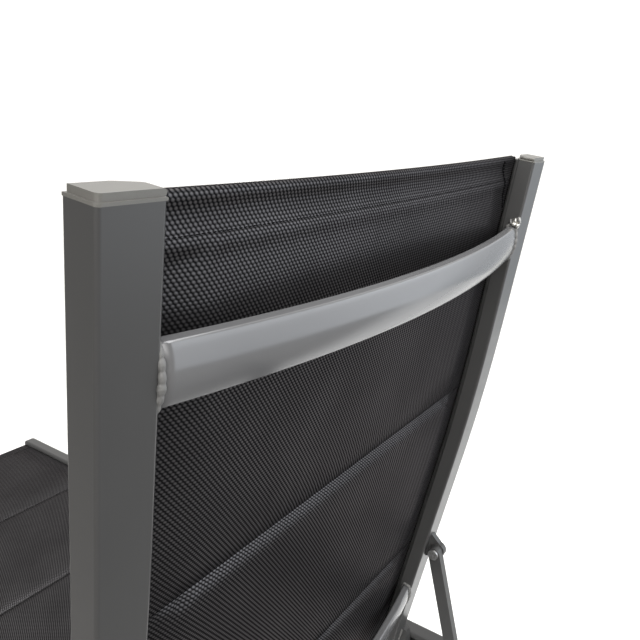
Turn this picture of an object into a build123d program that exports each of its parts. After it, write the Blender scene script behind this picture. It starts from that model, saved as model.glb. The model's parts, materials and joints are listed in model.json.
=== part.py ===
from build123d import *
import os
from math import cos, radians, sin, sqrt, tan

# Reclining sun lounger: aluminium frame, padded slings, backrest held by a prop on two notched racks.
# +Z is up, X across, the head end at -Y. The origin is on the floor, under the middle of the base.
# The backrest is modelled in its most upright place. All sizes are in millimetres and degrees.

# Overall sizes
base_length = 1950.0
seat_height = 330.0
backrest_width = 600.0
backrest_length = 800.0
upright_angle = 76.7
hinge_from_middle = 160.0
side_gap = 3.0

# Backrest rail extrusion: straight, gently bent, straight again up to the head
rail_width = 38.0
rail_depth = 31.0
rail_outer_depth = 24.6
rail_wall = 2.0
rail_back_round = 2.5
rail_front_outer_round = 2.5
rail_front_inner_round = 8.0
rail_tail = 12.0
bend_angle = 4.0
bend_radius = 2865.0
head_straight = 205.0

# Slot for the sling's edge, with the keder rod that holds it
slot_mouth = 8.6
slot_lip = 3.5
slot_setback = 17.9
keder_radius = 5.0
keder_clearance = 0.7

# Moulded end caps and plugs
cap_height = 5.5
cap_flange = 1.7
cap_inset = 1.2
cap_round = 1.8
cap_flange_round = 0.8
cap_outer_round = 3.0
cap_slot_gap = 0.5
cap_slot_cut = 15.0
cap_front_round = 12.0
cap_slot_round = 5.0
plug_round = 1.5
cap_tongue = 16.0
cap_clearance = 0.2

# Bowed crossbars: tubes with a flat front, straight edges and a crowned back
bar_height = 38.8
bar_depth = 13.0
bar_crown = 4.5
bar_round = 2.0
bar_wall = 1.6
bar_proud = 0.8
bar_bow = 23.8
top_bar_drop = 92.4
lower_bar_rise = 150.0

# Base rail extrusion
base_rail_width = 28.0
base_rail_height = 60.0
base_top_round = 6.0
base_bottom_round = 3.0
base_slot_drop = 7.7
base_cap_height = 5.0

# Base crossbars, placed along the base
base_bar_lift = 3.0
foot_bar_inset = 75.0
head_bar_inset = 50.0
hinge_bar_ahead = 90.0
middle_bar_ahead = 560.0

# Padded slings
sling_edge = 1.8
sling_lip_gap = 0.9
sling_end_gap = 2.0
sling_tail = 40.0
hem_width = 25.0
hem_bulge = 0.4
seam_pitch = 265.0
pad_front_bulge = 7.0
pad_back_bulge = 5.0
flat_margin = 8.0
pad_margin = 45.0
pad_edge_fill = 0.9
seat_sling_ahead = 56.0

# Backrest hinge
hinge_offset = 14.0
lug_thickness = 12.0
lug_radius = 13.0
lug_reach = 60.0
lug_taper = 45.0
bolt_radius = 5.0
bolt_head_radius = 9.0
bolt_head_height = 5.0
bolt_head_round = 2.2
bush_wall = 2.0
running_clearance = 0.05
washer_radius = 12.0
face_clearance = 0.2
nut_height = 8.0
nut_radius = 8.5

# Prop and its pivots
prop_length = 245.0
arm_width = 18.0
arm_thickness = 11.0
arm_edge_gap = 2.5
prop_lug_thickness = 8.0
prop_lug_radius = 11.0
prop_lug_reach = 20.0
prop_lug_flare = 60.0
pin_radius = 4.0
pin_head_radius = 7.5
pin_head_height = 3.5
pin_nut_height = 4.5
rod_radius = 7.0
rod_wall = 2.0
sleeve_wall = 1.0
sleeve_length = 12.0
sleeve_end_gap = 1.0

# Notched racks on the base rails' inner faces
rack_plate = 6.0
rack_plate_rise = 12.0
rack_ledge = 11.0
rack_depth = 22.0
rack_stop = 8.0
rack_stop_rise = 6.0
rack_clearance = 0.5
lower_notch_angles = (60.0, 45.0, 30.0, 0.0)
screw_radius = 2.5
screw_head_radius = 4.8
screw_head_height = 2.4
screw_length = 12.0
screw_rise = 2.0

# Legs, stretchers and feet
leg_width = 24.0
leg_depth = 45.0
leg_round = 9.0
leg_wall = 2.0
leg_splay = 8.0
head_leg_inset = 215.0
foot_leg_inset = 275.0
stretcher_height = 130.0
stretcher_width = 34.0
stretcher_depth = 16.0
stretcher_wall = 1.6
foot_height = 30.0
foot_floor = 8.0
foot_wall = 2.5
foot_clearance = 0.2
foot_round = 2.0

# Places worked out from the sizes
half_width = backrest_width / 2
rail_inner = half_width - rail_width
base_inner = half_width + side_gap
base_outer = base_inner + base_rail_width
base_middle = base_inner + base_rail_width / 2
base_bottom = seat_height - base_rail_height
base_rail_half = base_length / 2 - base_cap_height
hinge_y = -hinge_from_middle
hinge_z = seat_height - rail_depth - hinge_offset
lean = radians(upright_angle)
bend_start = backrest_length - head_straight - bend_radius * radians(bend_angle)
bend_end = backrest_length - head_straight
chamber_radius = keder_radius + keder_clearance
keder_x = rail_inner + slot_lip + chamber_radius
keder_depth = slot_setback + slot_mouth / 2
seat_keder_x = base_inner + slot_lip + chamber_radius
seat_keder_z = seat_height - base_slot_drop - slot_mouth / 2
sling_front = slot_setback + slot_mouth - sling_lip_gap
sling_back = sling_front - sling_edge
seat_sling_top = seat_height - base_slot_drop - sling_lip_gap
seat_sling_under = seat_sling_top - sling_edge

# Working planes: across the lower backrest rail, and along its side
up_rail = Vector(0, -cos(lean), sin(lean))
hinge_point = Vector(0, hinge_y, hinge_z)
side_plane = Plane(origin=hinge_point, x_dir=up_rail, z_dir=(-1, 0, 0))

os.makedirs("parts", exist_ok=True)


def keep(part, name):
    """Label a finished piece and write it."""
    part.label = name
    export_step(part, f"parts/{name}.step")


def keep_pair(part, name):
    """Write a right-hand piece and its mirror image on the left."""
    keep(part, f"{name}_right")
    with BuildPart() as twin:
        mirror(part, about=Plane.YZ)
    keep(twin.part, f"{name}_left")


def rail_turn(length):
    """Angle, in radians, that the rail has bent forward at a length from the hinge axis."""
    return min(max(length - bend_start, 0.0) / bend_radius, radians(bend_angle))


def rail_point(length, depth):
    """Point on the side plane, at a length along the rail and a depth in front of its back face."""
    turn = rail_turn(length)
    past = max(length - bend_end, 0.0)
    up = min(length, bend_start) + bend_radius * sin(turn) + past * cos(turn) - depth * sin(turn)
    front = hinge_offset + bend_radius * (1 - cos(turn)) + past * sin(turn) + depth * cos(turn)
    return up, front


def rail_plane(length):
    """Plane square to the rail, on its back face: x across, y to the front, z up the rail."""
    turn = rail_turn(length)
    up, front = rail_point(length, 0)
    place = hinge_point + side_plane.x_dir * up + side_plane.y_dir * front
    direction = side_plane.x_dir * cos(turn) + side_plane.y_dir * sin(turn)
    return Plane(origin=place, x_dir=(1, 0, 0), z_dir=direction)


def rail_path():
    """Line of the rail's back face from its lower end to the head, on the side plane."""
    bend_middle = (bend_start + bend_end) / 2
    with BuildLine(side_plane) as path:
        Line(rail_point(-rail_tail, 0), rail_point(bend_start, 0))
        ThreePointArc(rail_point(bend_start, 0), rail_point(bend_middle, 0), rail_point(bend_end, 0))
        Line(rail_point(bend_end, 0), rail_point(backrest_length, 0))
    return path.wire()


def rail_outline(inset):
    """Outer outline of the right-hand backrest rail, drawn in by an inset."""
    inner = rail_inner + inset
    outer = half_width - inset
    corners = [(inner, inset), (outer, inset), (outer, rail_outer_depth - inset), (inner, rail_depth - inset)]
    Polygon(*corners, align=None)
    fillet(vertices().group_by(Axis.Y)[0], rail_back_round - inset)
    fillet(vertices().sort_by(Axis.Y)[-1], rail_front_inner_round - inset)
    fillet(vertices().group_by(Axis.X)[-1].sort_by(Axis.Y)[-1], rail_front_outer_round - inset)


def cap_outline(inset):
    """Outline of a cap, flush with the rail's inner face and cut off there to leave the slot's mouth open."""
    outer = half_width - inset
    front = rail_outer_depth - inset
    slot_side = (rail_inner, slot_setback - cap_slot_gap - inset)
    slot_front = (rail_inner + cap_slot_cut, front)
    corners = [(rail_inner, inset), (outer, inset), (outer, front), slot_front, slot_side]
    Polygon(*corners, align=None)
    fillet(vertices().group_by(Axis.X)[-1].sort_by(Axis.Y)[0], cap_outer_round)
    fillet(vertices().group_by(Axis.Y)[-1].sort_by(Axis.X)[0], cap_front_round)
    fillet(vertices().group_by(Axis.X)[0].sort_by(Axis.Y)[-1], cap_slot_round)


def rail_hollow(clearance, mode):
    """Main hollow of the backrest rail, which takes the tongue of a cap."""
    hollow_depth = slot_setback + slot_mouth / 2 - chamber_radius - 2 * rail_wall
    with Locations((half_width - rail_width / 2, rail_wall + hollow_depth / 2)):
        Rectangle(rail_width - 2 * (rail_wall + clearance), hollow_depth - 2 * clearance, mode=mode)


def rail_front_hollow():
    """Second hollow of the rail, beside the keder's chamber, which the caps cover."""
    low = keder_depth - chamber_radius
    high = rail_outer_depth - rail_wall
    inner = keder_x + chamber_radius + rail_wall
    outer = half_width - rail_wall
    with Locations(((inner + outer) / 2, (low + high) / 2)):
        Rectangle(outer - inner, high - low, mode=Mode.SUBTRACT)


def sling_slot(place, opening):
    """Round chamber for a keder rod, with a straight mouth out to the rail's inner face."""
    with Locations(place):
        Circle(chamber_radius, mode=Mode.SUBTRACT)
        Rectangle(opening, slot_mouth, align=(Align.MAX, Align.CENTER), mode=Mode.SUBTRACT)


def bar_outline(inset, mode):
    """Outline of a crossbar, drawn in by an inset: height on x, the crowned back on the +y side."""
    edge = bar_height / 2 - inset
    front = inset - bar_depth / 2
    back = bar_depth / 2 - inset
    with BuildLine() as outline:
        Polyline((edge, back - bar_crown), (edge, front), (-edge, front), (-edge, back - bar_crown))
        ThreePointArc((-edge, back - bar_crown), (0, back), (edge, back - bar_crown))
    make_face(outline.edges(), mode=mode)


def bowed_bar(middle, half_span):
    """Crowned tube on a shallow arc that dips to the plane's -y side, cut square at both ends."""
    arc_radius = (half_span**2 + bar_bow**2) / (2 * bar_bow)
    reach = half_span + bar_depth
    rise = arc_radius - sqrt(arc_radius**2 - reach**2) - bar_bow
    with BuildLine(middle) as bow:
        ThreePointArc((-reach, rise), (0, -bar_bow), (reach, rise))
    with BuildPart() as bar:
        with BuildSketch(Plane(origin=bow.wire() @ 0, x_dir=middle.z_dir, z_dir=bow.wire() % 0)):
            bar_outline(0, Mode.ADD)
            fillet(vertices(), bar_round)
            bar_outline(bar_wall, Mode.SUBTRACT)
        sweep(path=bow.wire())
        split(bisect_by=Plane.YZ.offset(half_span), keep=Keep.BOTTOM)
        split(bisect_by=Plane.YZ.offset(-half_span), keep=Keep.TOP)
    return bar.part


def quilted_outline(stations, bulges, place):
    """Outline of a sling along its length, with one arc to a channel on each face.

    stations are the seams, bulges the front and back swell of each channel, and place gives the
    point for a station and a height above the sling's front (1) or back (-1) face.
    """
    with BuildLine() as outline:
        for start, end, (front, _) in zip(stations, stations[1:], bulges):
            ThreePointArc(place(start, 0, 1), place((start + end) / 2, front, 1), place(end, 0, 1))
        Line(place(stations[-1], 0, 1), place(stations[-1], 0, -1))
        for start, end, (_, back) in zip(stations, stations[1:], bulges):
            ThreePointArc(place(start, 0, -1), place((start + end) / 2, back, -1), place(end, 0, -1))
        Line(place(stations[0], 0, -1), place(stations[0], 0, 1))
    make_face(outline.edges())


def sling_sections(edge_x, clear_x):
    """Places across a sling and how full its padding is there: flat edges, then full to the middle."""
    flat_x = clear_x - flat_margin
    full_x = clear_x - pad_margin
    right = [(full_x, pad_edge_fill), (flat_x, 0.0), (edge_x, 0.0)]
    return [(-x, fill) for x, fill in reversed(right)] + [(0.0, 1.0)] + right


def channel_bulges(count, fill, hem_first):
    """Front and back swell of each channel, with the thin hem at one end."""
    slack = hem_bulge / 2
    channels = [(slack + pad_front_bulge * fill, slack + pad_back_bulge * fill)] * count
    hem = [(slack + hem_bulge * fill, slack)]
    return hem + channels if hem_first else channels + hem


# Backrest rails, with the sling slot open to the inner side
with BuildPart() as backrest_rail:
    with BuildSketch(rail_plane(-rail_tail)):
        rail_outline(0)
        rail_hollow(0, Mode.SUBTRACT)
        rail_front_hollow()
        sling_slot((keder_x, keder_depth), keder_x - rail_inner)
    sweep(path=rail_path())
keep_pair(backrest_rail.part, "backrest_rail")

# Caps on the head ends of the rails, stepped: a flange as wide as the rail under a smaller block
with BuildPart() as backrest_cap:
    with BuildSketch(rail_plane(backrest_length).offset(cap_flange)):
        cap_outline(cap_inset)
    extrude(amount=cap_height - cap_flange)
    fillet(faces().sort_by(Axis.Z)[-1].edges(), cap_round)
    with BuildPart():
        with BuildSketch(rail_plane(backrest_length)):
            cap_outline(0)
        extrude(amount=cap_flange)
        fillet(faces().sort_by(Axis.Z)[-1].edges().sort_by(Axis.X)[1:], cap_flange_round)
    with BuildSketch(rail_plane(backrest_length)):
        rail_hollow(cap_clearance, Mode.ADD)
    extrude(amount=-cap_tongue)
keep_pair(backrest_cap.part, "backrest_cap")

# Plugs in the lower ends of the rails
with BuildPart() as backrest_plug:
    with BuildSketch(rail_plane(-rail_tail)):
        rail_outline(cap_inset)
    extrude(amount=-cap_height)
    fillet(faces().sort_by(Axis.Z)[0].edges(), plug_round)
    with BuildSketch(rail_plane(-rail_tail)):
        rail_hollow(cap_clearance, Mode.ADD)
    extrude(amount=cap_tongue)
keep_pair(backrest_plug.part, "backrest_plug")

# Keder rods in the rails' slots
with BuildPart() as backrest_keder:
    with BuildSketch(rail_plane(-rail_tail)):
        with Locations((keder_x, keder_depth)):
            Circle(keder_radius)
    sweep(path=rail_path())
keep_pair(backrest_keder.part, "backrest_keder")

# Bowed crossbars of the backrest, their ends a little proud of the rails' back faces
for name, height in (("top", backrest_length - top_bar_drop), ("lower", lower_bar_rise)):
    square = rail_plane(height)
    bar_place = square.origin + square.y_dir * (bar_depth / 2 - bar_proud)
    bar_middle = Plane(bar_place, square.x_dir, square.z_dir)
    keep(bowed_bar(bar_middle, rail_inner), f"backrest_crossbar_{name}")

# Padded backrest sling: seams counted down from the hem at the head
sling_head = backrest_length - sling_end_gap
sling_hem = backrest_length - hem_width
backrest_seams = [sling_head, sling_hem, sling_hem - seam_pitch, sling_hem - 2 * seam_pitch, sling_tail]


def backrest_sling_point(length, swell, face):
    """Point on the side plane, swelled out from the sling's front or back face."""
    return rail_point(length, sling_front + swell if face > 0 else sling_back - swell)


with BuildPart() as backrest_sling:
    for x, fill in sling_sections(keder_x - keder_radius, rail_inner):
        swells = channel_bulges(len(backrest_seams) - 2, fill, True)
        with BuildSketch(side_plane.offset(-x)):
            quilted_outline(backrest_seams, swells, backrest_sling_point)
    loft(ruled=True)
keep(backrest_sling.part, "backrest_sling")

# Base side rails, drilled for the hinge bolt and the rack's screws
prop_foot_y = hinge_y - 2 * prop_length * cos(lean)
notch_places = [prop_foot_y] + [hinge_y - 2 * prop_length * cos(radians(a)) for a in lower_notch_angles]
screw_places = [(near + far) / 2 for near, far in zip(notch_places[:3], notch_places[1:4])]
screw_z = hinge_z + screw_rise
rack_face = base_inner - rack_plate


def rack_screw(y, mode):
    """Countersunk screw on the X axis, its head flush with the rack's plate."""
    tip = rack_face + screw_length
    with BuildSketch(Plane(origin=(0, y, screw_z), x_dir=(1, 0, 0), z_dir=(0, 0, 1))) as half:
        with BuildLine():
            Polyline(
                (rack_face, 0),
                (rack_face, screw_head_radius),
                (rack_face + screw_head_height, screw_radius),
                (tip, screw_radius),
                (tip, 0),
                close=True,
            )
        make_face()
    revolve(half.sketch, axis=Axis((0, y, screw_z), (1, 0, 0)), mode=mode)


with BuildPart() as base_rail:
    with BuildSketch(Plane.XZ.offset(base_rail_half)):
        with Locations((base_middle, seat_height - base_rail_height / 2)):
            Rectangle(base_rail_width, base_rail_height)
        fillet(vertices().group_by(Axis.Y)[-1], base_top_round)
        fillet(vertices().group_by(Axis.Y)[0], base_bottom_round)
        sling_slot((seat_keder_x, seat_keder_z), seat_keder_x - base_inner)
        with Locations((base_middle, base_bottom + rail_wall)):
            hollow_top = seat_keder_z - chamber_radius - rail_wall
            hollow_height = hollow_top - base_bottom - rail_wall
            hollow_width = base_rail_width - 2 * rail_wall
            Rectangle(hollow_width, hollow_height, align=(Align.CENTER, Align.MIN), mode=Mode.SUBTRACT)
    extrude(amount=-2 * base_rail_half)
    with BuildSketch(Plane.YZ.offset(base_inner)):
        with Locations((hinge_y, hinge_z)):
            Circle(bolt_radius)
    extrude(amount=base_rail_width, mode=Mode.SUBTRACT)
    for place in screw_places:
        rack_screw(place, Mode.SUBTRACT)
keep_pair(base_rail.part, "base_rail")

# Plugs in the four ends of the base rails
for end, sign in (("head", -1), ("foot", 1)):
    with BuildPart() as base_cap:
        with BuildSketch(Plane.XZ.offset(-sign * base_rail_half)):
            with Locations((base_middle, seat_height - base_rail_height / 2)):
                Rectangle(base_rail_width - 2 * cap_inset, base_rail_height - 2 * cap_inset)
            fillet(vertices().group_by(Axis.Y)[-1], base_top_round - cap_inset)
            fillet(vertices().group_by(Axis.Y)[0], base_bottom_round - cap_inset)
        extrude(amount=-sign * base_cap_height)
        fillet(faces().sort_by(Axis.Y)[0 if sign < 0 else -1].edges(), plug_round)
        with BuildSketch(Plane.XZ.offset(-sign * base_rail_half)):
            with Locations((base_middle, base_bottom + rail_wall + cap_clearance)):
                tongue = (hollow_width - 2 * cap_clearance, hollow_height - 2 * cap_clearance)
                Rectangle(*tongue, align=(Align.CENTER, Align.MIN))
        extrude(amount=sign * cap_tongue)
    keep_pair(base_cap.part, f"base_cap_{end}")

# Bowed crossbars of the base, between the rails' inner faces and dipping under the slings
base_bar_z = base_bottom + base_bar_lift + bar_depth / 2
base_bar_places = {
    "head": head_bar_inset - base_length / 2,
    "hinge": hinge_y + hinge_bar_ahead,
    "middle": hinge_y + middle_bar_ahead,
    "foot": base_length / 2 - foot_bar_inset,
}
for name, y in base_bar_places.items():
    bar_middle = Plane(origin=(0, y, base_bar_z), x_dir=(1, 0, 0), z_dir=(0, -1, 0))
    keep(bowed_bar(bar_middle, base_inner), f"base_crossbar_{name}")

# Padded seat sling: seams counted from the hinge to the hem at the foot
seat_start = hinge_y + seat_sling_ahead
seat_end = base_rail_half - sling_end_gap
seat_channels = round((seat_end - hem_width - seat_start) / seam_pitch)
seat_pitch = (seat_end - hem_width - seat_start) / seat_channels
seat_seams = [seat_start + seat_pitch * i for i in range(seat_channels + 1)] + [seat_end]


def seat_sling_point(y, swell, face):
    """Point on the YZ plane, swelled out from the seat sling's upper or lower face."""
    return y, seat_sling_top + swell if face > 0 else seat_sling_under - swell


with BuildPart() as seat_sling:
    for x, fill in sling_sections(seat_keder_x - keder_radius, base_inner):
        swells = channel_bulges(seat_channels, fill, False)
        with BuildSketch(Plane.YZ.offset(x)):
            quilted_outline(seat_seams, swells, seat_sling_point)
    loft(ruled=True)
keep(seat_sling.part, "seat_sling")

# Keder rods of the seat sling
with BuildPart() as seat_keder:
    with BuildSketch(Plane.XZ.offset(-seat_start)):
        with Locations((seat_keder_x, seat_keder_z)):
            Circle(keder_radius)
    extrude(amount=seat_start - seat_end)
keep_pair(seat_keder.part, "seat_keder")

# Hinge lugs, welded to the back faces of the backrest rails
with BuildPart() as hinge_lug:
    with BuildSketch(side_plane.offset(-half_width)):
        Circle(lug_radius)
        lug_corners = [(-lug_radius, 0), (-lug_radius, hinge_offset), (lug_reach, hinge_offset)]
        taper = radians(lug_taper)
        lug_foot = [(lug_reach, hinge_offset / 2), (lug_radius * sin(taper), -lug_radius * cos(taper))]
        Polygon(*lug_corners, *lug_foot, align=None)
        Circle(bolt_radius + running_clearance + bush_wall, mode=Mode.SUBTRACT)
    extrude(amount=lug_thickness)
keep_pair(hinge_lug.part, "hinge_lug")

# Plain bushes in the lugs
with BuildPart() as hinge_bush:
    with BuildSketch(side_plane.offset(-half_width)):
        Circle(bolt_radius + running_clearance + bush_wall)
        Circle(bolt_radius + running_clearance, mode=Mode.SUBTRACT)
    extrude(amount=lug_thickness)
keep_pair(hinge_bush.part, "hinge_bush")

# Hinge bolts through the base rails, with spacer washers and lock nuts
lug_inner = half_width - lug_thickness
nut_outer = lug_inner - face_clearance
bolt_end = nut_outer - nut_height
hinge_plane = Plane(origin=(0, hinge_y, hinge_z), x_dir=(0, 1, 0), z_dir=(1, 0, 0))

with BuildPart() as hinge_bolt:
    with BuildSketch(hinge_plane.offset(base_outer)):
        Circle(bolt_head_radius)
    extrude(amount=bolt_head_height)
    fillet(faces().sort_by(Axis.X)[-1].edges(), bolt_head_round)
    with BuildSketch(hinge_plane.offset(base_outer)):
        Circle(bolt_radius)
    extrude(amount=bolt_end - base_outer)
keep_pair(hinge_bolt.part, "hinge_bolt")

with BuildPart() as hinge_washer:
    with BuildSketch(hinge_plane.offset(half_width + face_clearance)):
        Circle(washer_radius)
        Circle(bolt_radius, mode=Mode.SUBTRACT)
    extrude(amount=side_gap - face_clearance)
keep_pair(hinge_washer.part, "hinge_washer")

with BuildPart() as hinge_nut:
    with BuildSketch(hinge_plane.offset(nut_outer)):
        RegularPolygon(nut_radius, 6)
        Circle(bolt_radius, mode=Mode.SUBTRACT)
    extrude(amount=-nut_height)
keep_pair(hinge_nut.part, "hinge_nut")

# Prop lugs, welded to the back faces of the backrest rails inside the racks' line
arm_inner = rail_inner + arm_edge_gap
arm_outer = arm_inner + arm_thickness
prop_lug_inner = arm_outer + face_clearance
prop_lug_outer = prop_lug_inner + prop_lug_thickness
with BuildPart() as prop_lug:
    with BuildSketch(side_plane.offset(-prop_lug_outer)):
        with Locations((prop_length, 0)):
            Circle(prop_lug_radius)
            with Locations((0, hinge_offset / 2)):
                Trapezoid(2 * prop_lug_reach, hinge_offset, prop_lug_flare, rotation=180)
            Circle(pin_radius, mode=Mode.SUBTRACT)
    extrude(amount=prop_lug_thickness)
keep_pair(prop_lug.part, "prop_lug")

# Pivot pins of the prop, with their nuts
prop_pivot = hinge_point + up_rail * prop_length
pivot_plane = Plane(origin=prop_pivot, x_dir=(0, 1, 0), z_dir=(1, 0, 0))
pin_head_face = arm_inner - face_clearance
with BuildPart() as prop_pin:
    with BuildSketch(pivot_plane.offset(pin_head_face)):
        Circle(pin_head_radius)
    extrude(amount=-pin_head_height)
    with BuildSketch(pivot_plane.offset(pin_head_face)):
        Circle(pin_radius)
    extrude(amount=prop_lug_outer + pin_nut_height - pin_head_face)
keep_pair(prop_pin.part, "prop_pin")

with BuildPart() as prop_nut:
    with BuildSketch(pivot_plane.offset(prop_lug_outer)):
        RegularPolygon(pin_head_radius, 6)
        Circle(pin_radius, mode=Mode.SUBTRACT)
    extrude(amount=pin_nut_height)
keep_pair(prop_nut.part, "prop_nut")

# Prop arms: flat bars from the pivots to the foot rod
prop_foot = Vector(0, prop_foot_y, hinge_z)
arm_plane = Plane(origin=prop_pivot, x_dir=prop_foot - prop_pivot, z_dir=(1, 0, 0))
with BuildPart() as prop_arm:
    with BuildSketch(arm_plane.offset(arm_inner)):
        with Locations((prop_length / 2, 0)):
            SlotCenterToCenter(prop_length, arm_width)
        Circle(pin_radius + running_clearance, mode=Mode.SUBTRACT)
        with Locations((prop_length, 0)):
            Circle(rod_radius, mode=Mode.SUBTRACT)
    extrude(amount=arm_thickness)
keep_pair(prop_arm.part, "prop_arm")

# Foot rod of the prop, a round tube, with a nylon sleeve over each end
foot_plane = Plane(origin=prop_foot, x_dir=(0, 1, 0), z_dir=(1, 0, 0))
sleeve_end = rack_face - sleeve_end_gap
sleeve_radius = rod_radius + sleeve_wall
rod_half = sleeve_end - sleeve_wall
with BuildPart() as prop_rod:
    with BuildSketch(foot_plane.offset(-rod_half)):
        Circle(rod_radius)
        Circle(rod_radius - rod_wall, mode=Mode.SUBTRACT)
    extrude(amount=2 * rod_half)
keep(prop_rod.part, "prop_rod")

with BuildPart() as prop_sleeve:
    with BuildSketch(foot_plane.offset(sleeve_end)):
        Circle(sleeve_radius)
    extrude(amount=-sleeve_length)
    with BuildSketch(foot_plane.offset(rod_half)):
        Circle(rod_radius)
    extrude(amount=-sleeve_length, mode=Mode.SUBTRACT)
keep_pair(prop_sleeve.part, "prop_sleeve")

# Notched racks: a plate on the base rail's inner face and a ledge with a stop at each end
tip_z = hinge_z - sleeve_radius - rack_clearance
rack_under = hinge_z - rack_depth
near_stop = prop_foot_y + sleeve_radius + rack_clearance
far_stop = notch_places[-1] - sleeve_radius - rack_clearance
ledge_face = rack_face - rack_ledge
with BuildPart() as rack:
    with BuildSketch(Plane.YZ.offset(ledge_face)):
        with BuildLine():
            Polyline(
                (near_stop + rack_stop, rack_under),
                (near_stop + rack_stop, hinge_z + rack_stop_rise),
                (near_stop, hinge_z + rack_stop_rise),
                (near_stop, tip_z),
                (far_stop, tip_z),
                (far_stop, hinge_z + rack_stop_rise),
                (far_stop - rack_stop, hinge_z + rack_stop_rise),
                (far_stop - rack_stop, rack_under),
                close=True,
            )
        make_face()
        with Locations(*[(y, tip_z) for y in notch_places]):
            Circle(sleeve_radius, mode=Mode.SUBTRACT)
    extrude(amount=rack_ledge)
    with BuildSketch(Plane.YZ.offset(rack_face)):
        with Locations((near_stop + rack_stop, rack_under)):
            plate_size = (near_stop - far_stop + 2 * rack_stop, hinge_z + rack_plate_rise - rack_under)
            Rectangle(*plate_size, align=(Align.MAX, Align.MIN))
    extrude(amount=rack_plate)
    for place in screw_places:
        rack_screw(place, Mode.SUBTRACT)
keep_pair(rack.part, "rack")

with BuildPart() as rack_screws:
    for place in screw_places:
        rack_screw(place, Mode.ADD)
    mirror(about=Plane.YZ)
keep(rack_screws.part, "rack_screws")

# Legs: tubes that lean away from the middle, welded under the base rails, with feet and stretchers
leg_slope = tan(radians(leg_splay))
leg_tops = {"head": head_leg_inset - base_length / 2, "foot": base_length / 2 - foot_leg_inset}
for end, sign in (("head", -1), ("foot", 1)):
    leg_run = Vector(0, sign * leg_slope, -1)
    top_y = leg_tops[end]
    drop = base_bottom - foot_floor
    with BuildPart() as leg:
        with BuildSketch(Plane.XY.offset(base_bottom)):
            with Locations((base_middle, top_y)):
                RectangleRounded(leg_width, leg_depth, leg_round)
                hole = (leg_width - 2 * leg_wall, leg_depth - 2 * leg_wall, leg_round - leg_wall)
                RectangleRounded(*hole, mode=Mode.SUBTRACT)
        extrude(amount=drop * leg_run.length, dir=leg_run)
    keep_pair(leg.part, f"leg_{end}")

    floor_y = top_y + sign * leg_slope * base_bottom
    with BuildPart() as foot:
        with BuildSketch(Plane.XY):
            with Locations((base_middle, floor_y)):
                shell = leg_round + foot_wall + foot_clearance
                grow = 2 * (foot_wall + foot_clearance)
                RectangleRounded(leg_width + grow, leg_depth + grow, shell)
        extrude(amount=foot_height * leg_run.length, dir=-leg_run)
        fillet(faces().sort_by(Axis.Z)[-1].edges(), foot_round)
        with BuildSketch(Plane.XY.offset(foot_floor)):
            with Locations((base_middle, floor_y - sign * leg_slope * foot_floor)):
                socket = (leg_width + 2 * foot_clearance, leg_depth + 2 * foot_clearance)
                RectangleRounded(*socket, leg_round + foot_clearance)
        extrude(amount=foot_height * leg_run.length, dir=-leg_run, mode=Mode.SUBTRACT)
    keep_pair(foot.part, f"foot_{end}")

    leg_inner = base_middle - leg_width / 2
    stretcher_y = top_y + sign * leg_slope * (base_bottom - stretcher_height)
    with BuildPart() as stretcher:
        with BuildSketch(Plane.YZ.offset(-leg_inner)):
            with Locations((stretcher_y, stretcher_height)):
                SlotOverall(stretcher_width, stretcher_depth, rotation=90)
                bore = (stretcher_width - 2 * stretcher_wall, stretcher_depth - 2 * stretcher_wall)
                SlotOverall(*bore, rotation=90, mode=Mode.SUBTRACT)
        extrude(amount=2 * leg_inner)
    keep(stretcher.part, f"stretcher_{end}")
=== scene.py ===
import json
import logging
import math
from abc import ABC, abstractmethod
from dataclasses import dataclass, field
from enum import Enum
from typing import Any, Iterable, Sequence, Union

import bpy
import numpy as np
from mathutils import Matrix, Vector


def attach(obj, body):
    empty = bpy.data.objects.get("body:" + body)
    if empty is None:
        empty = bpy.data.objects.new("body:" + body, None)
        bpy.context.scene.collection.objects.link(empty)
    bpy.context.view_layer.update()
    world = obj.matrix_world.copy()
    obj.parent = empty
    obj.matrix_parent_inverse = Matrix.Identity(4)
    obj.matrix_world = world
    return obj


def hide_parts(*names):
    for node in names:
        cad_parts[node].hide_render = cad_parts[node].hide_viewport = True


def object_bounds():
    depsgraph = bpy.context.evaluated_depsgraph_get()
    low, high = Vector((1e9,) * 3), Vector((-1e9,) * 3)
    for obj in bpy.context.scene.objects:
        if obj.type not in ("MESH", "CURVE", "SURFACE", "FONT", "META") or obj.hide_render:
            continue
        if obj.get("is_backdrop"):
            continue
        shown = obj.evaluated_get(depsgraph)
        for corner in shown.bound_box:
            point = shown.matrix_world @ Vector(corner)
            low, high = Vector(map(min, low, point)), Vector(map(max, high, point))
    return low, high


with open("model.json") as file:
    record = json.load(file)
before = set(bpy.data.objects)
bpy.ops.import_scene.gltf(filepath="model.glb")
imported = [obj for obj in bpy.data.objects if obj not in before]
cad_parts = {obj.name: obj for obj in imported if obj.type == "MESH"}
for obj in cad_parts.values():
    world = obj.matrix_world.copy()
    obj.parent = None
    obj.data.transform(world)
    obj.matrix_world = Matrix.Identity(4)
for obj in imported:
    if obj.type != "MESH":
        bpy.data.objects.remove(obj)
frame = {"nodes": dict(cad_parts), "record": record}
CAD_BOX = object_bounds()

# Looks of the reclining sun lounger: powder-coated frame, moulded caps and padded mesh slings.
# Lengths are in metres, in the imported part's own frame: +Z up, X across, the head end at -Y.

LOG = logging.getLogger("sun_lounger")
FULL_TURN = 2 * math.pi
BEAD_POINTS = 180
RGB = tuple[float, float, float]
Pair = tuple[float, float]
Array = np.ndarray
Piece = bpy.types.Object
Material = bpy.types.Material
Term = Union["Value", float]


class Side(Enum):
    """Left and right of the lounger, with the sign of X."""

    LEFT = -1
    RIGHT = 1

    @property
    def inward(self) -> Array:
        """Direction from this side to the middle."""
        return np.array([-self.value, 0.0, 0.0])


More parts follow.
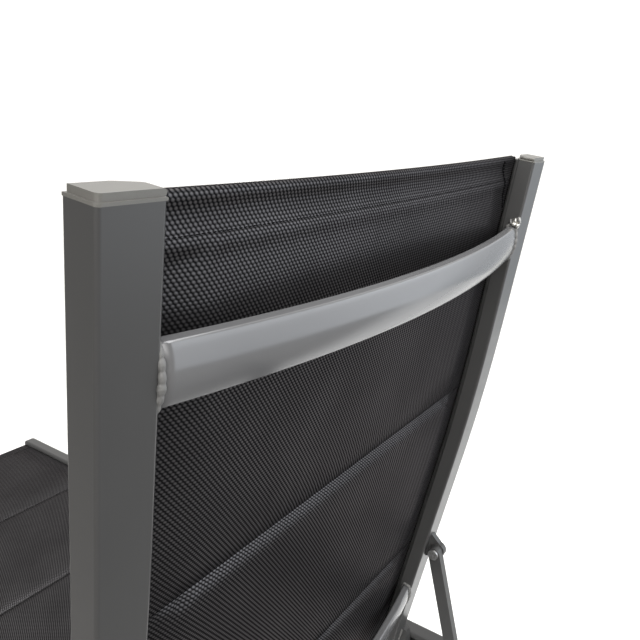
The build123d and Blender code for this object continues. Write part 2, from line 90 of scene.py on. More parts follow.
class Face(Enum):
    """Faces of a padded sling: the one that is lain on and the one behind it."""

    FRONT = 1
    BACK = -1


class Slot(Enum):
    """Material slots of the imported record."""

    FRAME = "frame"
    CAP = "cap"
    SLING = "sling"
    KEDER = "keder"
    FASTENER = "fastener"
    MOULDING = "moulding"


StitchLine = tuple[Face, Pair, Pair, float]
Mesh = tuple[Array, list[Array]]


class Value:
    """A shader socket that takes part in Python arithmetic by adding Math nodes."""

    def __init__(self, graph: "Graph", socket: bpy.types.NodeSocket) -> None:
        """Keep the socket and the graph that it belongs to."""
        self.graph = graph
        self.socket = socket

    def __add__(self, other: Term) -> "Value":
        """Sum of two values."""
        return self.graph.math("ADD", self, other)

    __radd__ = __add__

    def __sub__(self, other: Term) -> "Value":
        """Difference of two values."""
        return self.graph.math("SUBTRACT", self, other)

    def __rsub__(self, other: Term) -> "Value":
        """Difference, with the number first."""
        return self.graph.math("SUBTRACT", other, self)

    def __mul__(self, other: Term) -> "Value":
        """Product of two values."""
        return self.graph.math("MULTIPLY", self, other)

    __rmul__ = __mul__

    def cosine(self) -> "Value":
        """Cosine of the value, in radians."""
        return self.graph.math("COSINE", self)

    def smooth(self, low: float, high: float) -> "Value":
        """Ease from 0, where the value is low, to 1, where it is high."""
        sockets = {"Value": self, "From Min": low, "From Max": high}
        return self.graph.node("ShaderNodeMapRange", {"interpolation_type": "SMOOTHSTEP"}, sockets)


class Graph:
    """The node tree of one material or world, built from expressions."""

    def __init__(self, owner: bpy.types.ID, output: str = "ShaderNodeOutputMaterial") -> None:
        """Start an empty tree in a material or world, with the type name of its output node."""
        owner.use_nodes = True
        self.owner = owner
        self.output = output
        self.tree = owner.node_tree
        self.tree.nodes.clear()

    def node(
        self,
        kind: str,
        settings: dict[str, Any],
        sockets: dict[str | int, Any],
        output: str | int | None = 0,
    ) -> Value | None:
        """Add one node.

        Args:
            kind: Blender's type name of the node.
            settings: Attributes of the node, set first.
            sockets: Values or links of its input sockets, by name or number.
            output: Name or number of the output wanted, or None for a node without any.

        Returns:
            The wanted output.
        """
        made = self.tree.nodes.new(kind)
        for key, setting in settings.items():
            setattr(made, key, setting)
        for key, wanted in sockets.items():
            if isinstance(wanted, Value):
                self.tree.links.new(wanted.socket, made.inputs[key])
            else:
                made.inputs[key].default_value = wanted
        return None if output is None else Value(self, made.outputs[output])

    def math(self, operation: str, *terms: Term) -> Value:
        """Add a Math node for an operation on values and numbers."""
        return self.node("ShaderNodeMath", {"operation": operation}, dict(enumerate(terms)))

    def mix(self, share: Term, first: Any, second: Any) -> Value:
        """Mix two colours, or values of them; the share is that of the second, from 0 to 1."""
        sockets = {0: share, 6: rgba(first), 7: rgba(second)}
        return self.node("ShaderNodeMix", {"data_type": "RGBA"}, sockets, 2)

    def clouded(self, clouds: Value, colour: RGB, depth: float) -> Value:
        """Colour that clouds make darker or lighter by up to a share of it, the depth."""
        return self.mix(clouds, shade(colour, 1 - depth), shade(colour, 1 + depth))

    def place(self) -> Value:
        """Object coordinates, in metres."""
        return self.node("ShaderNodeTexCoord", {}, {}, "Object")

    def part(self, vector: Value, axis: str) -> Value:
        """One coordinate of a vector: X, Y or Z."""
        return self.node("ShaderNodeSeparateXYZ", {}, {0: vector}, axis)

    def noise(self, place: Value, pitch: float, detail: float = 2.0, stretch: RGB = (1, 1, 1)) -> Value:
        """Cloudy noise between 0 and 1.

        Args:
            place: Coordinates to read, in metres.
            pitch: Rough size of one cloud, in metres.
            detail: Octaves of finer noise.
            stretch: Factors on the coordinates, to draw the clouds out along an axis.

        Returns:
            The noise.
        """
        drawn = self.node("ShaderNodeVectorMath", {"operation": "MULTIPLY"}, {0: place, 1: stretch})
        sockets = {"Vector": drawn, "Scale": 1 / pitch, "Detail": detail}
        return self.node("ShaderNodeTexNoise", {}, sockets, "Fac")

    def bump(self, height: Value, distance: float) -> Value:
        """Normal that follows a height map, in which 1 stands for the distance, in metres."""
        return self.node("ShaderNodeBump", {}, {"Height": height, "Distance": distance})

    def shader(self, sockets: dict[str, Any]) -> Value:
        """Add a Principled shader with those values or links on its sockets."""
        return self.node("ShaderNodeBsdfPrincipled", {}, sockets)

    def close(self, shader: Value) -> Any:
        """Lead a shader to the output, which finishes the material or world."""
        self.node(self.output, {"is_active_output": True}, {"Surface": shader}, None)
        return self.owner

    def surface(self, sockets: dict[str, Any]) -> Material:
        """Finish the material with one Principled shader of those sockets."""
        return self.close(self.shader(sockets))


def rgba(colour: Any) -> Any:
    """Colour with an alpha of 1, or a value as it is."""
    return colour if isinstance(colour, Value) else (*colour, 1.0)


def shade(colour: RGB, factor: float) -> RGB:
    """Colour made lighter or darker by a factor."""
    return tuple(channel * factor for channel in colour)


class Finish(ABC):
    """A surface finish that becomes one material."""

    name: str

    def material(self) -> Material:
        """Start a graph of the finish's name and paint the finish in it."""
        graph = Graph(bpy.data.materials.new(self.name))
        return self.paint(graph, graph.place())

    @abstractmethod
    def paint(self, graph: Graph, place: Value) -> Material:
        """Build the finish.

        Args:
            graph: Node tree to build it in.
            place: Object coordinates, in metres.

        Returns:
            The finished material.
        """


@dataclass(frozen=True)
class PowderCoat(Finish):
    """Satin powder coat: fine orange peel, faint clouds, a few rubbed marks and, if wanted, metal pigment."""

    name: str = "powder_coat"
    colour: RGB = (0.039, 0.0388, 0.0390)
    rubbed: RGB = (0.075, 0.0745, 0.074)
    roughness: float = 0.32
    pigment: float = 0.0
    gloss: float = 0.35
    edge_tint: RGB = (1.0, 1.0, 1.0)
    cloud_pitch: float = 0.16
    cloud_depth: float = 0.05
    dust_pitch: float = 0.012
    dust_gloss: float = 0.08
    mark_pitch: float = 0.004
    mark_stretch: RGB = (1.0, 0.22, 0.22)
    mark_share: float = 0.25
    peel_pitch: float = 0.0011
    peel_height: float = 0.000012

    def paint(self, graph: Graph, place: Value) -> Material:
        """Build the coat: clouded grey, orange-peel bump, short rubbed marks along the tubes."""
        clouds = graph.noise(place, self.cloud_pitch, 3).smooth(0.3, 0.7)
        peel = graph.noise(place, self.peel_pitch)
        dust = graph.noise(place, self.dust_pitch, 4)
        marks = graph.noise(place, self.mark_pitch, 3, self.mark_stretch).smooth(0.70, 0.80)
        coat = graph.clouded(clouds, self.colour, self.cloud_depth)
        worn = marks * dust.smooth(0.55, 0.70) * self.mark_share
        return graph.surface({
            "Base Color": graph.mix(worn, coat, self.rubbed),
            "Metallic": self.pigment,
            "Specular IOR Level": self.gloss,
            "Specular Tint": rgba(self.edge_tint),
            "Roughness": dust * self.dust_gloss + (self.roughness - self.dust_gloss / 2),
            "Normal": graph.bump(peel, self.peel_height),
        })


@dataclass(frozen=True)
class MouldedPlastic(Finish):
    """Moulded plastic with a fine spark-eroded grain, a little lighter where the grain stands highest."""

    name: str
    colour: RGB
    roughness: float
    flow_pitch: float = 0.03
    flow_depth: float = 0.06
    flow_gloss: float = 0.12
    grain_pitch: float = 0.0006
    grain_height: float = 0.00003
    grain_share: float = 0.3
    grain_tone: float = 1.25

    def paint(self, graph: Graph, place: Value) -> Material:
        """Build the plastic: two close tones, fine grain and uneven gloss."""
        flow = graph.noise(place, self.flow_pitch, 3)
        grain = graph.noise(place, self.grain_pitch)
        tone = graph.clouded(flow.smooth(0.3, 0.7), self.colour, self.flow_depth)
        # Flecks a little lighter where the grain stands highest.
        speckle = grain.smooth(0.45, 0.75) * self.grain_share
        return graph.surface({
            "Base Color": graph.mix(speckle, tone, shade(self.colour, self.grain_tone)),
            "Roughness": flow * self.flow_gloss + (self.roughness - self.flow_gloss / 2),
            "Normal": graph.bump(grain, self.grain_height),
        })


@dataclass(frozen=True)
class ZincPlate(Finish):
    """Zinc-plated steel with turning marks and dull patches."""

    name: str = "zinc_plate"
    colour: RGB = (0.56, 0.56, 0.57)
    dull: RGB = (0.36, 0.355, 0.34)
    cloud_pitch: float = 0.004
    mark_pitch: float = 0.0004
    mark_stretch: RGB = (1.0, 0.15, 0.15)
    mark_height: float = 0.00002
    smoothest: float = 0.25

    def paint(self, graph: Graph, place: Value) -> Material:
        """Build the plating: metal with clouded colour, uneven gloss and fine marks across."""
        clouds = graph.noise(place, self.cloud_pitch, 4)
        marks = graph.noise(place, self.mark_pitch, 2, self.mark_stretch)
        return graph.surface({
            "Base Color": graph.mix(clouds.smooth(0.4, 0.65), self.colour, self.dull),
            "Metallic": 1.0,
            "Roughness": clouds * 0.25 + self.smoothest,
            "Normal": graph.bump(marks, self.mark_height),
        })


@dataclass(frozen=True)
class WeldSkin(Finish):
    """Weld bead under the coat, with bare bright metal where the coat has missed it."""

    name: str
    bare: float
    coat: RGB = (0.11, 0.109, 0.107)
    metal: RGB = (0.50, 0.49, 0.46)
    patch_pitch: float = 0.005
    patch_edge: Pair = (0.78, 0.84)
    lump_pitch: float = 0.0022
    lump_height: float = 0.0004

    def paint(self, graph: Graph, place: Value) -> Material:
        """Build the bead: coat with bare patches picked by noise, rough and lumpy."""
        patches = graph.noise(place, self.patch_pitch, 3)
        lumps = graph.noise(place, self.lump_pitch, 3)
        showing = patches.smooth(*(level - self.bare for level in self.patch_edge))
        return graph.surface({
            "Base Color": graph.mix(showing, self.coat, self.metal),
            "Metallic": showing,
            "Roughness": 0.50 - 0.10 * showing,
            "Normal": graph.bump(lumps, self.lump_height),
        })


@dataclass(frozen=True)
class MeshWeave(Finish):
    """Coated mesh cloth: staggered knuckles of yarn, with painted shade in the holes between them."""

    name: str = "mesh_weave"
    across: float = 0.0036
    along: float = 0.0050
    yarn: RGB = (0.092, 0.089, 0.092)
    sheen: float = 0.7
    edge_tint: RGB = (0.48, 0.46, 0.46)
    # Near-black colour of the holes between the yarns: painted shade.
    hole_shade: RGB = (0.0035, 0.0035, 0.0039)
    relief: float = 0.00014
    harmonics: tuple[float, float, float] = (0.58, 0.26, 0.36)
    spread: Pair = (-0.85, 1.2)
    fade_pitch: float = 0.09
    fade_depth: float = 0.12
    wander_pitch: float = 0.02
    wander: float = 0.0005
    strands: float = 4.0
    strand_height: float = 0.12

    def paint(self, graph: Graph, place: Value) -> Material:
        """Build the weave: cosines along both slants and across the rows make knuckles and holes, and the
        holes get a near-black painted shade.
        """
        chart = graph.node("ShaderNodeUVMap", {"uv_map": "weave"}, {})
        wander = graph.noise(place, self.wander_pitch) * self.wander
        column = (graph.part(chart, "X") + wander) * (FULL_TURN / self.across)
        row = (graph.part(chart, "Y") + wander) * (FULL_TURN / self.along)
        slant, counter, rows = self.harmonics
        slants = (column - row).cosine() * slant + (column + row).cosine() * counter
        knuckle = slants + (row * 2.0).cosine() * rows
        strand = (column * self.strands).cosine() * self.strand_height
        cover = knuckle.smooth(*self.spread)
        fade = graph.noise(place, self.fade_pitch, 4).smooth(0.3, 0.7)
        yarn = graph.shader({
            "Base Color": graph.clouded(fade, self.yarn, self.fade_depth),
            "Roughness": 0.34 - 0.06 * cover,
            "Metallic": self.sheen,
            "Specular IOR Level": 0.0,
            "Specular Tint": rgba(self.edge_tint),
            "Normal": graph.bump(knuckle * 0.5 + strand, self.relief),
        })
        # The holes: a matt near-black shader, painted shade.
        hole_shade = graph.shader({"Base Color": rgba(self.hole_shade), "Roughness": 0.9, "Specular IOR Level": 0.0})
        return graph.close(graph.node("ShaderNodeMixShader", {}, {0: cover, 1: hole_shade, 2: yarn}))


@dataclass(frozen=True)
class SewingThread(Finish):
    """Black twisted polyester thread."""

    name: str = "sewing_thread"
    colour: RGB = (0.006, 0.006, 0.0065)
    twist_pitch: float = 0.0007
    twist_height: float = 0.00008

    def paint(self, graph: Graph, place: Value) -> Material:
        """Build the thread: dark and matt, with the twist as a slanting ripple and as painted highlight on
        its crests and painted shade in its grooves.
        """
        slant = graph.part(place, "X") + graph.part(place, "Z")
        twist = (slant * (FULL_TURN / self.twist_pitch)).cosine()
        return graph.surface({
            # Colour follows the twist's height: painted highlight on the crests, painted shade in the
            # grooves.
            "Base Color": graph.mix(twist.smooth(-1, 1), shade(self.colour, 0.6), shade(self.colour, 1.6)),
            "Roughness": 0.7,
            "Specular IOR Level": 0.0,
            "Normal": graph.bump(twist, self.twist_height),
        })


@dataclass(frozen=True)
class StudioFloor(Finish):
    """Plain pale studio floor, greyer behind the lounger's head and to its left."""

    name: str = "studio_floor"
    colour: RGB = (0.94, 0.94, 0.935)
    grey: RGB = (0.21, 0.204, 0.198)
    slant: float = -0.6
    fade: Pair = (0.08, -0.45)
    side_fade: Pair = (-0.2, -0.7)
    cloud_pitch: float = 0.8
    cloud_depth: float = 0.015

    def paint(self, graph: Graph, place: Value) -> Material:
        """Build the floor: matt, hardly clouded, and grey past one line at the head and one at the side."""
        clouds = graph.noise(place, self.cloud_pitch, 3)
        across = graph.part(place, "X")
        behind = (graph.part(place, "Y") - across * self.slant).smooth(*self.fade)
        beside = across.smooth(*self.side_fade)
        pale = graph.clouded(clouds, self.colour, self.cloud_depth)
        tone = graph.mix(behind + beside - behind * beside, pale, self.grey)
        return graph.surface({"Base Color": tone, "Roughness": 0.75})


@dataclass(frozen=True)
class WallGlow(Finish):
    """Light of a glowing studio wall, strongest in one stretch of it and towards the top."""

    name: str = "wall_glow"
    colour: RGB = (0.90, 0.95, 1.0)
    strengths: tuple[float, float, float] = (1.8, 2.1, 0.75)
    spans: tuple[Pair, Pair] = ((0.9, 1.9), (2.35, 2.9))
    rise: Pair = (0.95, 1.2)
    gain: float = 1.6

    def paint(self, graph: Graph, place: Value) -> Material:
        """Build the glow: along X it goes through three strengths, and it gains with height."""
        first, peak, last = (shade(self.colour, strength) for strength in self.strengths)
        rising, falling = (graph.part(place, "X").smooth(*span) for span in self.spans)
        colour = graph.mix(falling, graph.mix(rising, first, peak), last)
        strength = graph.part(place, "Z").smooth(*self.rise) * (self.gain - 1.0) + 1.0
        return graph.close(graph.node("ShaderNodeEmission", {}, {"Color": colour, "Strength": strength}))


class Palette:
    """The finishes of the lounger, each built once."""

    def __init__(self) -> None:
        """Build every material."""
        self.coat = PowderCoat().material()
        # The crossbars get the frame's powder coat made nearly four times lighter and more metallic; the
        # lighter colour is painted light, for the brighter light that the bars catch.
        self.bar_coat_painted_light = PowderCoat(
            name="crossbar_coat",
            colour=(0.146, 0.146, 0.150),
            rubbed=(0.18, 0.18, 0.18),
            roughness=0.17,
            pigment=0.38,
            gloss=0.26,
            edge_tint=(0.85, 0.85, 0.85),
        ).material()
        self.weld = WeldSkin("weld_coated", 0.0).material()
        self.bare_weld = WeldSkin("weld_bare", 0.34).material()
        self.weave = MeshWeave().material()
        self.thread = SewingThread().material()
        self.by_slot = {
            Slot.FRAME: self.coat,
            Slot.CAP: MouldedPlastic("cap_plastic", (0.090, 0.0875, 0.081), 0.46).material(),
            Slot.SLING: self.weave,
            Slot.KEDER: MouldedPlastic("keder_plastic", (0.012, 0.012, 0.012), 0.5).material(),
            Slot.FASTENER: ZincPlate().material(),
            Slot.MOULDING: MouldedPlastic("nylon_black", (0.022, 0.022, 0.023), 0.48).material(),
        }


def grid_quads(rows: int, columns: int) -> Array:
    """Corner numbers of the quads of a grid whose points are numbered row by row."""
    first = (np.arange(rows - 1)[:, None] * columns + np.arange(columns - 1)[None, :]).reshape(-1)
    return np.stack([first, first + 1, first + columns + 1, first + columns], axis=-1)


def enclosed_volume(points: Array, quads: Array) -> float:
    """Six times the volume inside closed quads.

    Args:
        points: Vertices, one row each.
        quads: Corner numbers, one row each.

    Returns:
        Sum of a dot (b cross c) over both triangles of each quad, negative where the quads face inwards.
    """
    corner = points[quads]
    halves = np.concatenate([corner[:, [0, 1, 2]], corner[:, [0, 2, 3]]])
    return float(np.einsum("ij,ij->i", halves[:, 0], np.cross(halves[:, 1], halves[:, 2])).sum())


def make_piece(
    name: str,
    points: Array,
    faces: Sequence[Array],
    material: Material,
    chart: Array | None = None,
) -> Piece:
    """Turn arrays into a smooth-shaded mesh object at the origin.

    Args:
        name: Name of the piece.
        points: Vertices, one row each.
        faces: Arrays of corner numbers, one array for each number of corners.
        material: Its material.
        chart: Weave coordinates of every face corner, in the order of the faces.

    Returns:
        The object, linked to the scene.
    """
    mesh = bpy.data.meshes.new(name)
    mesh.from_pydata(points.tolist(), [], [face for block in faces for face in block.tolist()])
    mesh.polygons.foreach_set("use_smooth", np.ones(len(mesh.polygons), dtype=bool))
    if chart is not None:
        layer = mesh.uv_layers.new(name="weave")
        layer.data.foreach_set("uv", chart.astype(np.float32).ravel())
    mesh.materials.append(material)
    mesh.update()
    piece = bpy.data.objects.new(name, mesh)
    bpy.context.scene.collection.objects.link(piece)
    return piece


def merged(parts: Iterable[Mesh]) -> Mesh:
    """Join several meshes into one.

    Args:
        parts: Points and faces of each mesh.

    Returns:
        Points and faces of all of them.
    """
    points: list[Array] = []
    faces: list[Array] = []
    offset = 0
    for spots, blocks in parts:
        points.append(spots)
        faces.extend(block + offset for block in blocks)
        offset += len(spots)
    return np.concatenate(points), faces


def fit(piece: Piece, body: str, slot: Slot, *nodes: str) -> Piece:
    """Let a piece ride on a body.

    Args:
        piece: The piece.
        body: Body that carries it.
        slot: Not used.
        *nodes: Solids that it stands for.

    Returns:
        The piece.
    """
    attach(piece, body)
    if nodes:
        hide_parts(*nodes)
    return piece


def tubes(
    centres: Array, tangents: Array, lifts: Array, radii: Array, sides: int, ring: bool
) -> Mesh:
    """Carry a circle along many paths at once: centre + radius * (cos * side + sin * lift).

    Args:
        centres: Path points, as paths by points by three.
        tangents: Unit directions along the paths, of the same shape.
        lifts: Unit directions away from the surface below, of the same shape.
        radii: Radius at each path point.
        sides: Points on the circle.
        ring: True where each path closes on itself, and False where its ends are capped.

    Returns:
        The points, and the faces as arrays of quads and of end caps.
    """
    paths, count = radii.shape
    turn = np.arange(sides) * (FULL_TURN / sides)
    across = np.cross(lifts, tangents)
    circle = np.cos(turn)[:, None] * across[:, :, None, :] + np.sin(turn)[:, None] * lifts[:, :, None, :]
    points = (centres[:, :, None, :] + radii[:, :, None, None] * circle).reshape(-1, 3)
    row, column = np.meshgrid(np.arange(count if ring else count - 1), np.arange(sides), indexing="ij")
    below, beside = (row + 1) % count, (column + 1) % sides
    quads = np.stack(
        [row * sides + column, row * sides + beside, below * sides + beside, below * sides + column], axis=-1
    ).reshape(-1, 4)
    starts = np.arange(paths)[:, None] * (count * sides)
    faces = [(quads[None] + starts[:, :, None]).reshape(-1, 4)]
    if not ring:
        loop = np.arange(sides)
        faces.append(starts + loop[::-1])
        faces.append(starts + (count - 1) * sides + loop)
    return points, faces


def unit(vectors: Array) -> Array:
    """Vectors scaled to a length of 1."""
    return vectors / np.linalg.norm(vectors, axis=-1, keepdims=True)


def square_to(tangents: Array, vectors: Array) -> Array:
    """Unit vectors square to the tangents, turned towards the vectors."""
    return unit(vectors - (vectors * tangents).sum(-1, keepdims=True) * tangents)


def points_of(x: Any, y: Any, z: Any) -> Array:
    """Points whose coordinates are arrays or single numbers."""
    return np.stack(np.broadcast_arrays(x, y, z), axis=-1)


def eased(value: Array, low: float, high: float) -> Array:
    """Smooth step from 0 at low to 1 at high: share * share * (3 - 2 * share)."""
    share = np.clip((value - low) / (high - low), 0, 1)
    return share * share * (3 - 2 * share)


def between(grid: Array, row: Array, column: Array) -> Array:
    """Values between grid points, weighed from the four around each spot.

    Args:
        grid: Values at whole rows and columns.
        row: Row of each spot, with a fraction.
        column: Column of each spot, with a fraction.

    Returns:
        The values at the spots.
    """
    low_row = np.clip(row.astype(int), 0, grid.shape[0] - 2)
    low_column = np.clip(column.astype(int), 0, grid.shape[1] - 2)
    down, right = row - low_row, column - low_column
    upper = grid[low_row, low_column] * (1 - right) + grid[low_row, low_column + 1] * right
    lower = grid[low_row + 1, low_column] * (1 - right) + grid[low_row + 1, low_column + 1] * right
    return upper * (1 - down) + lower * down


@dataclass(frozen=True)
class RailLine:
    """The backrest rail's line at rest: straight, bent gently forward, and straight up to the head."""

    hinge_y: float = -0.160
    hinge_z: float = 0.285
    lean: float = math.radians(76.7)
    hinge_offset: float = 0.014
    bend_end: float = 0.595
    bend_radius: float = 2.865
    bend_angle: float = math.radians(4.0)

    def points(self, x: Array, length: Array, depth: Array) -> Array:
        """Places on or beside the rail.

        The rail turns forward by length past the bend's start over its radius, up to the bend's
        angle. A point goes up the straight, round the arc and along the head, and then square to
        the rail by its depth; the whole leans back from the hinge.

        Args:
            x: Distance across from the middle.
            length: Distance along the rail from the hinge axis.
            depth: Distance in front of the rail's back face.

        Returns:
            The places, with X, Y and Z in the last axis.
        """
        x, length, depth = np.broadcast_arrays(x, length, depth)
        start = self.bend_end - self.bend_radius * self.bend_angle
        turn = np.clip((length - start) / self.bend_radius, 0, self.bend_angle)
        past = np.maximum(length - self.bend_end, 0)
        cos, sin = np.cos(turn), np.sin(turn)
        up = np.minimum(length, start) + self.bend_radius * sin + past * cos - depth * sin
        front = self.hinge_offset + self.bend_radius * (1 - cos) + past * sin + depth * cos
        y = self.hinge_y - up * math.cos(self.lean) + front * math.sin(self.lean)
        z = self.hinge_z + up * math.sin(self.lean) + front * math.cos(self.lean)
        return points_of(x, y, z)


CLOTH = {
    "vertex_group_mass": "sewn",
    "quality": 5,
    "mass": 0.3,
    "tension_stiffness": 25,
    "compression_stiffness": 25,
    "shear_stiffness": 8,
    "bending_stiffness": 0.8,
    "air_damping": 4,
}


@dataclass
class StitchedSheet:
    """A slack sheet sewn down along seams and edges, let sag by a cloth simulation."""

    across: Array
    along: Array
    held: Array
    slack: float = 0.012
    frames: int = 26

    def sag(self) -> Array:
        """Depth of the sag at every grid point, row by row, as a share of the deepest one."""
        depth = self._simulated()
        return np.clip(depth / np.percentile(depth, 99.5), 0, 1)

    def _simulated(self) -> Array:
        """Sag of the sheet after the cloth simulation, with the grid read back row by row."""
        rows, columns = self.held.shape
        flat = points_of(self.across[None, :], self.along[:, None], 0.0).reshape(-1, 3)
        mesh = bpy.data.meshes.new("sheet")
        mesh.from_pydata(flat.tolist(), [], grid_quads(rows, columns).tolist())
        sheet = bpy.data.objects.new("sheet", mesh)
        bpy.context.scene.collection.objects.link(sheet)
        sewn = sheet.vertex_groups.new(name="sewn")
        sewn.add(np.flatnonzero(self.held.ravel()).tolist(), 1.0, "REPLACE")
        cloth = sheet.modifiers.new("cloth", "CLOTH").settings
        for setting, value in CLOTH.items():
            setattr(cloth, setting, value)
        cloth.shrink_min = -self.slack
        scene = bpy.context.scene
        for step in range(1, self.frames + 1):
            scene.frame_set(step)
        settled = sheet.evaluated_get(bpy.context.evaluated_depsgraph_get())
        spots = np.empty(rows * columns * 3, dtype=np.float32)
        settled.data.vertices.foreach_get("co", spots)
        bpy.data.objects.remove(sheet)
        bpy.data.meshes.remove(mesh)
        scene.frame_set(1)
        return np.maximum(-spots.reshape(rows, columns, 3)[:, :, 2].astype(float), 0)


@dataclass
class PaddedSling(ABC):
    """A padded mesh sling: two faces sewn together along seams, filled between them and hemmed."""

    name: str
    body: str
    node: str
    half_width: float
    clear_half: float
    seams: tuple[float, ...]
    front: float
    back: float
    front_swell: float = 0.0075
    back_swell: float = 0.0074
    roll: float = 6.0
    flat_margin: float = 0.006
    edge_run: float = 0.050
    fill: float = 0.35
    pitch: float = 0.0062
    stitch_length: float = 0.0034
    stitch_pitch: float = 0.0042
    stitch_margin: float = 0.001
    thread_radius: float = 0.00035
    across: Array = field(init=False)
    along: Array = field(init=False)
    depths: dict[Face, Array] = field(init=False)

    def __post_init__(self) -> None:
        """Lay out the grid, with a row on each seam, and fill both faces."""
        half = round(self.half_width / self.pitch)
        self.across = np.linspace(-self.half_width, self.half_width, 2 * half + 1)
        coarse = self._rows(1.0, self.pitch, 3)
        self.along = self._rows(0.2, self.pitch / 1.5, 24)
        sewn = (np.isin(coarse, self.seams) | (coarse > self.seams[-2]))[:, None]
        edge = np.abs(self.across)[None, :] > self.clear_half - self.flat_margin
        sheet = StitchedSheet(self.across, coarse, sewn | edge).sag()
        row = np.interp(self.along, coarse, np.arange(len(coarse)))
        row, column = np.meshgrid(row, np.arange(len(self.across), dtype=float), indexing="ij")
        sag = between(sheet, row, column)
        self.depths = {
            Face.FRONT: self.front + self._swell(sag, self.front_swell, Face.FRONT),
            Face.BACK: self.back - self._swell(sag[:, ::-1], self.back_swell, Face.BACK),
        }

    def _rows(self, even: float, pitch: float, least: int) -> Array:
        """Rows along the sling, with one on each seam.

        Between two seams, the share of the way is even * t + (1 - even) * (1 - cos(pi * t)) / 2,
        which draws the rows together near the seams.

        Args:
            even: 1 for evenly spaced rows, less to draw them together.
            pitch: Mean distance between rows.
            least: Fewest rows between two seams.

        Returns:
            Place of each row along the sling.
        """
        runs = []
        for low, high in zip(self.seams, self.seams[1:]):
            count = max(least, round((high - low) / pitch))
            step = np.arange(count) / count
            runs.append(low + (high - low) * (even * step + (1 - even) * (1 - np.cos(math.pi * step)) / 2))
        return np.concatenate([*runs, [self.seams[-1]]])

    def _gains(self, face: Face) -> Array:
        """How steeply the padding of a face rises from its seams, for each row."""
        return np.full(len(self.along), self.roll)

    def _hem(self) -> Array:
        """Height that the folded hem adds to each face, for each row."""
        return np.zeros(len(self.along))

    def _swell(self, sag: Array, height: float, face: Face) -> Array:
        """Padding height: the sag rises steeply from a seam and levels out, as tanh does.

        Beside the rails the padding thins out with the smooth step of the distance from the flat edge.

        Args:
            sag: Share of the deepest sag at each grid point.
            height: Height of the full padding.
            face: Face of the sling.

        Returns:
            Height above the sewn-down cloth at each grid point.
        """
        gains = self._gains(face)[:, None]
        room = self.clear_half - np.abs(self.across)
        fill = eased(room - self.flat_margin, 0, self.edge_run)
        edge = eased(room, 0, self.flat_margin)
        return height * fill * np.tanh(gains * sag) / np.tanh(gains) + edge * self._hem()[:, None]

    @abstractmethod
    def place(self, x: Array, along: Array, depth: Array) -> Array:
        """Places in the part's frame.

        Args:
            x: Distance across from the middle.
            along: Distance along the sling.
            depth: Distance through the sling, larger to the front.

        Returns:
            The places, with X, Y and Z in the last axis.
        """

    def depth_at(self, x: Array, along: Array, face: Face) -> Array:
        """Depth of a face between the grid points, weighed from the four around each spot.

        Args:
            x: Distances across.
            along: Distances along.
            face: Face of the sling.

        Returns:
            The depths.
        """
        row = np.interp(along, self.along, np.arange(len(self.along)))
        column = np.interp(x, self.across, np.arange(len(self.across)))
        return between(self.depths[face], row, column)

    def build(self, palette: Palette) -> list[Piece]:
        """Build the padded shell and its sewing.

        Args:
            palette: Finishes to dress them in.

        Returns:
            The pieces, the shell first.
        """
        shell = fit(self._shell(palette.weave), self.body, Slot.SLING, self.node)
        sewing = make_piece(f"{self.name}_sewing", *merged(self._stitches()), palette.thread)
        return [shell, fit(sewing, self.body, Slot.SLING)]

    def _shell(self, material: Material) -> Piece:
        """Closed shell of the sling.

        A loop runs up the front face, over the folded end, down the back face and round the other
        end; the columns across carry it from edge to edge, and a strip closes each edge.

        Args:
            material: Weave of the cloth.

        Returns:
            The shell.
        """
        bend = np.linspace(0, math.pi, 9)[1:-1, None]
        front, back = self.depths[Face.FRONT], self.depths[Face.BACK]
        centre, half = (front + back) / 2, (front - back) / 2
        far_depth = centre[-1] + half[-1] * np.cos(bend)
        near_depth = centre[0] - half[0] * np.cos(bend)
        far = self.along[-1] + half[-1] * np.sin(bend)
        near = self.along[0] - half[0] * np.sin(bend)
        rows = np.broadcast_to(self.along[:, None], front.shape)
        along = np.concatenate([rows, far, rows[::-1], near])
        depth = np.concatenate([front, far_depth, back[::-1], near_depth])
        loop, columns = along.shape
        points = self.place(self.across[None, :], along, depth).reshape(-1, 3)
        middle = columns // 2
        steps = [np.diff(grid[:, middle], append=grid[0, middle]) for grid in (along, depth)]
        run = np.concatenate([[0], np.cumsum(np.hypot(*steps))])
        chart = np.stack(np.broadcast_arrays(self.across[None, :], run[:, None]), axis=-1).reshape(-1, 2)
        open_quads = grid_quads(loop + 1, columns)
        quads = open_quads % (loop * columns)
        count = len(self.along)
        front_row = np.arange(count - 1)
        back_row = 2 * count + len(bend) - 1 - front_row
        strip = np.stack([front_row, front_row + 1, back_row - 1, back_row], axis=-1)
        far_cap = np.arange(count - 1, count + len(bend) + 1)
        near_cap = np.append(np.arange(2 * count + len(bend) - 1, loop), 0)
        sides = [
            edge
            for rows in (strip, far_cap[None, :], near_cap[None, :])
            for edge in (rows * columns, rows[:, ::-1] * columns + columns - 1)
        ]
        blocks = [quads, *sides]
        charts = [chart[block] for block in (open_quads, *sides)]
        if enclosed_volume(points, np.concatenate(blocks[:3])) < 0:
            blocks, charts = ([block[:, ::-1] for block in group] for group in (blocks, charts))
        corner_chart = np.concatenate([block.reshape(-1, 2) for block in charts])
        return make_piece(self.name, points, blocks, material, corner_chart)

    def stitch_lines(self) -> list[StitchLine]:
        """Lines of sewing, here the seams across both faces.

        Returns:
            The face, the place across and along of both ends, and the thread's radius, for each line.
        """
        side = self.clear_half - self.stitch_margin
        thread = self.thread_radius
        return [(face, (-side, seam), (side, seam), thread) for face in Face for seam in self.seams[1:-1]]

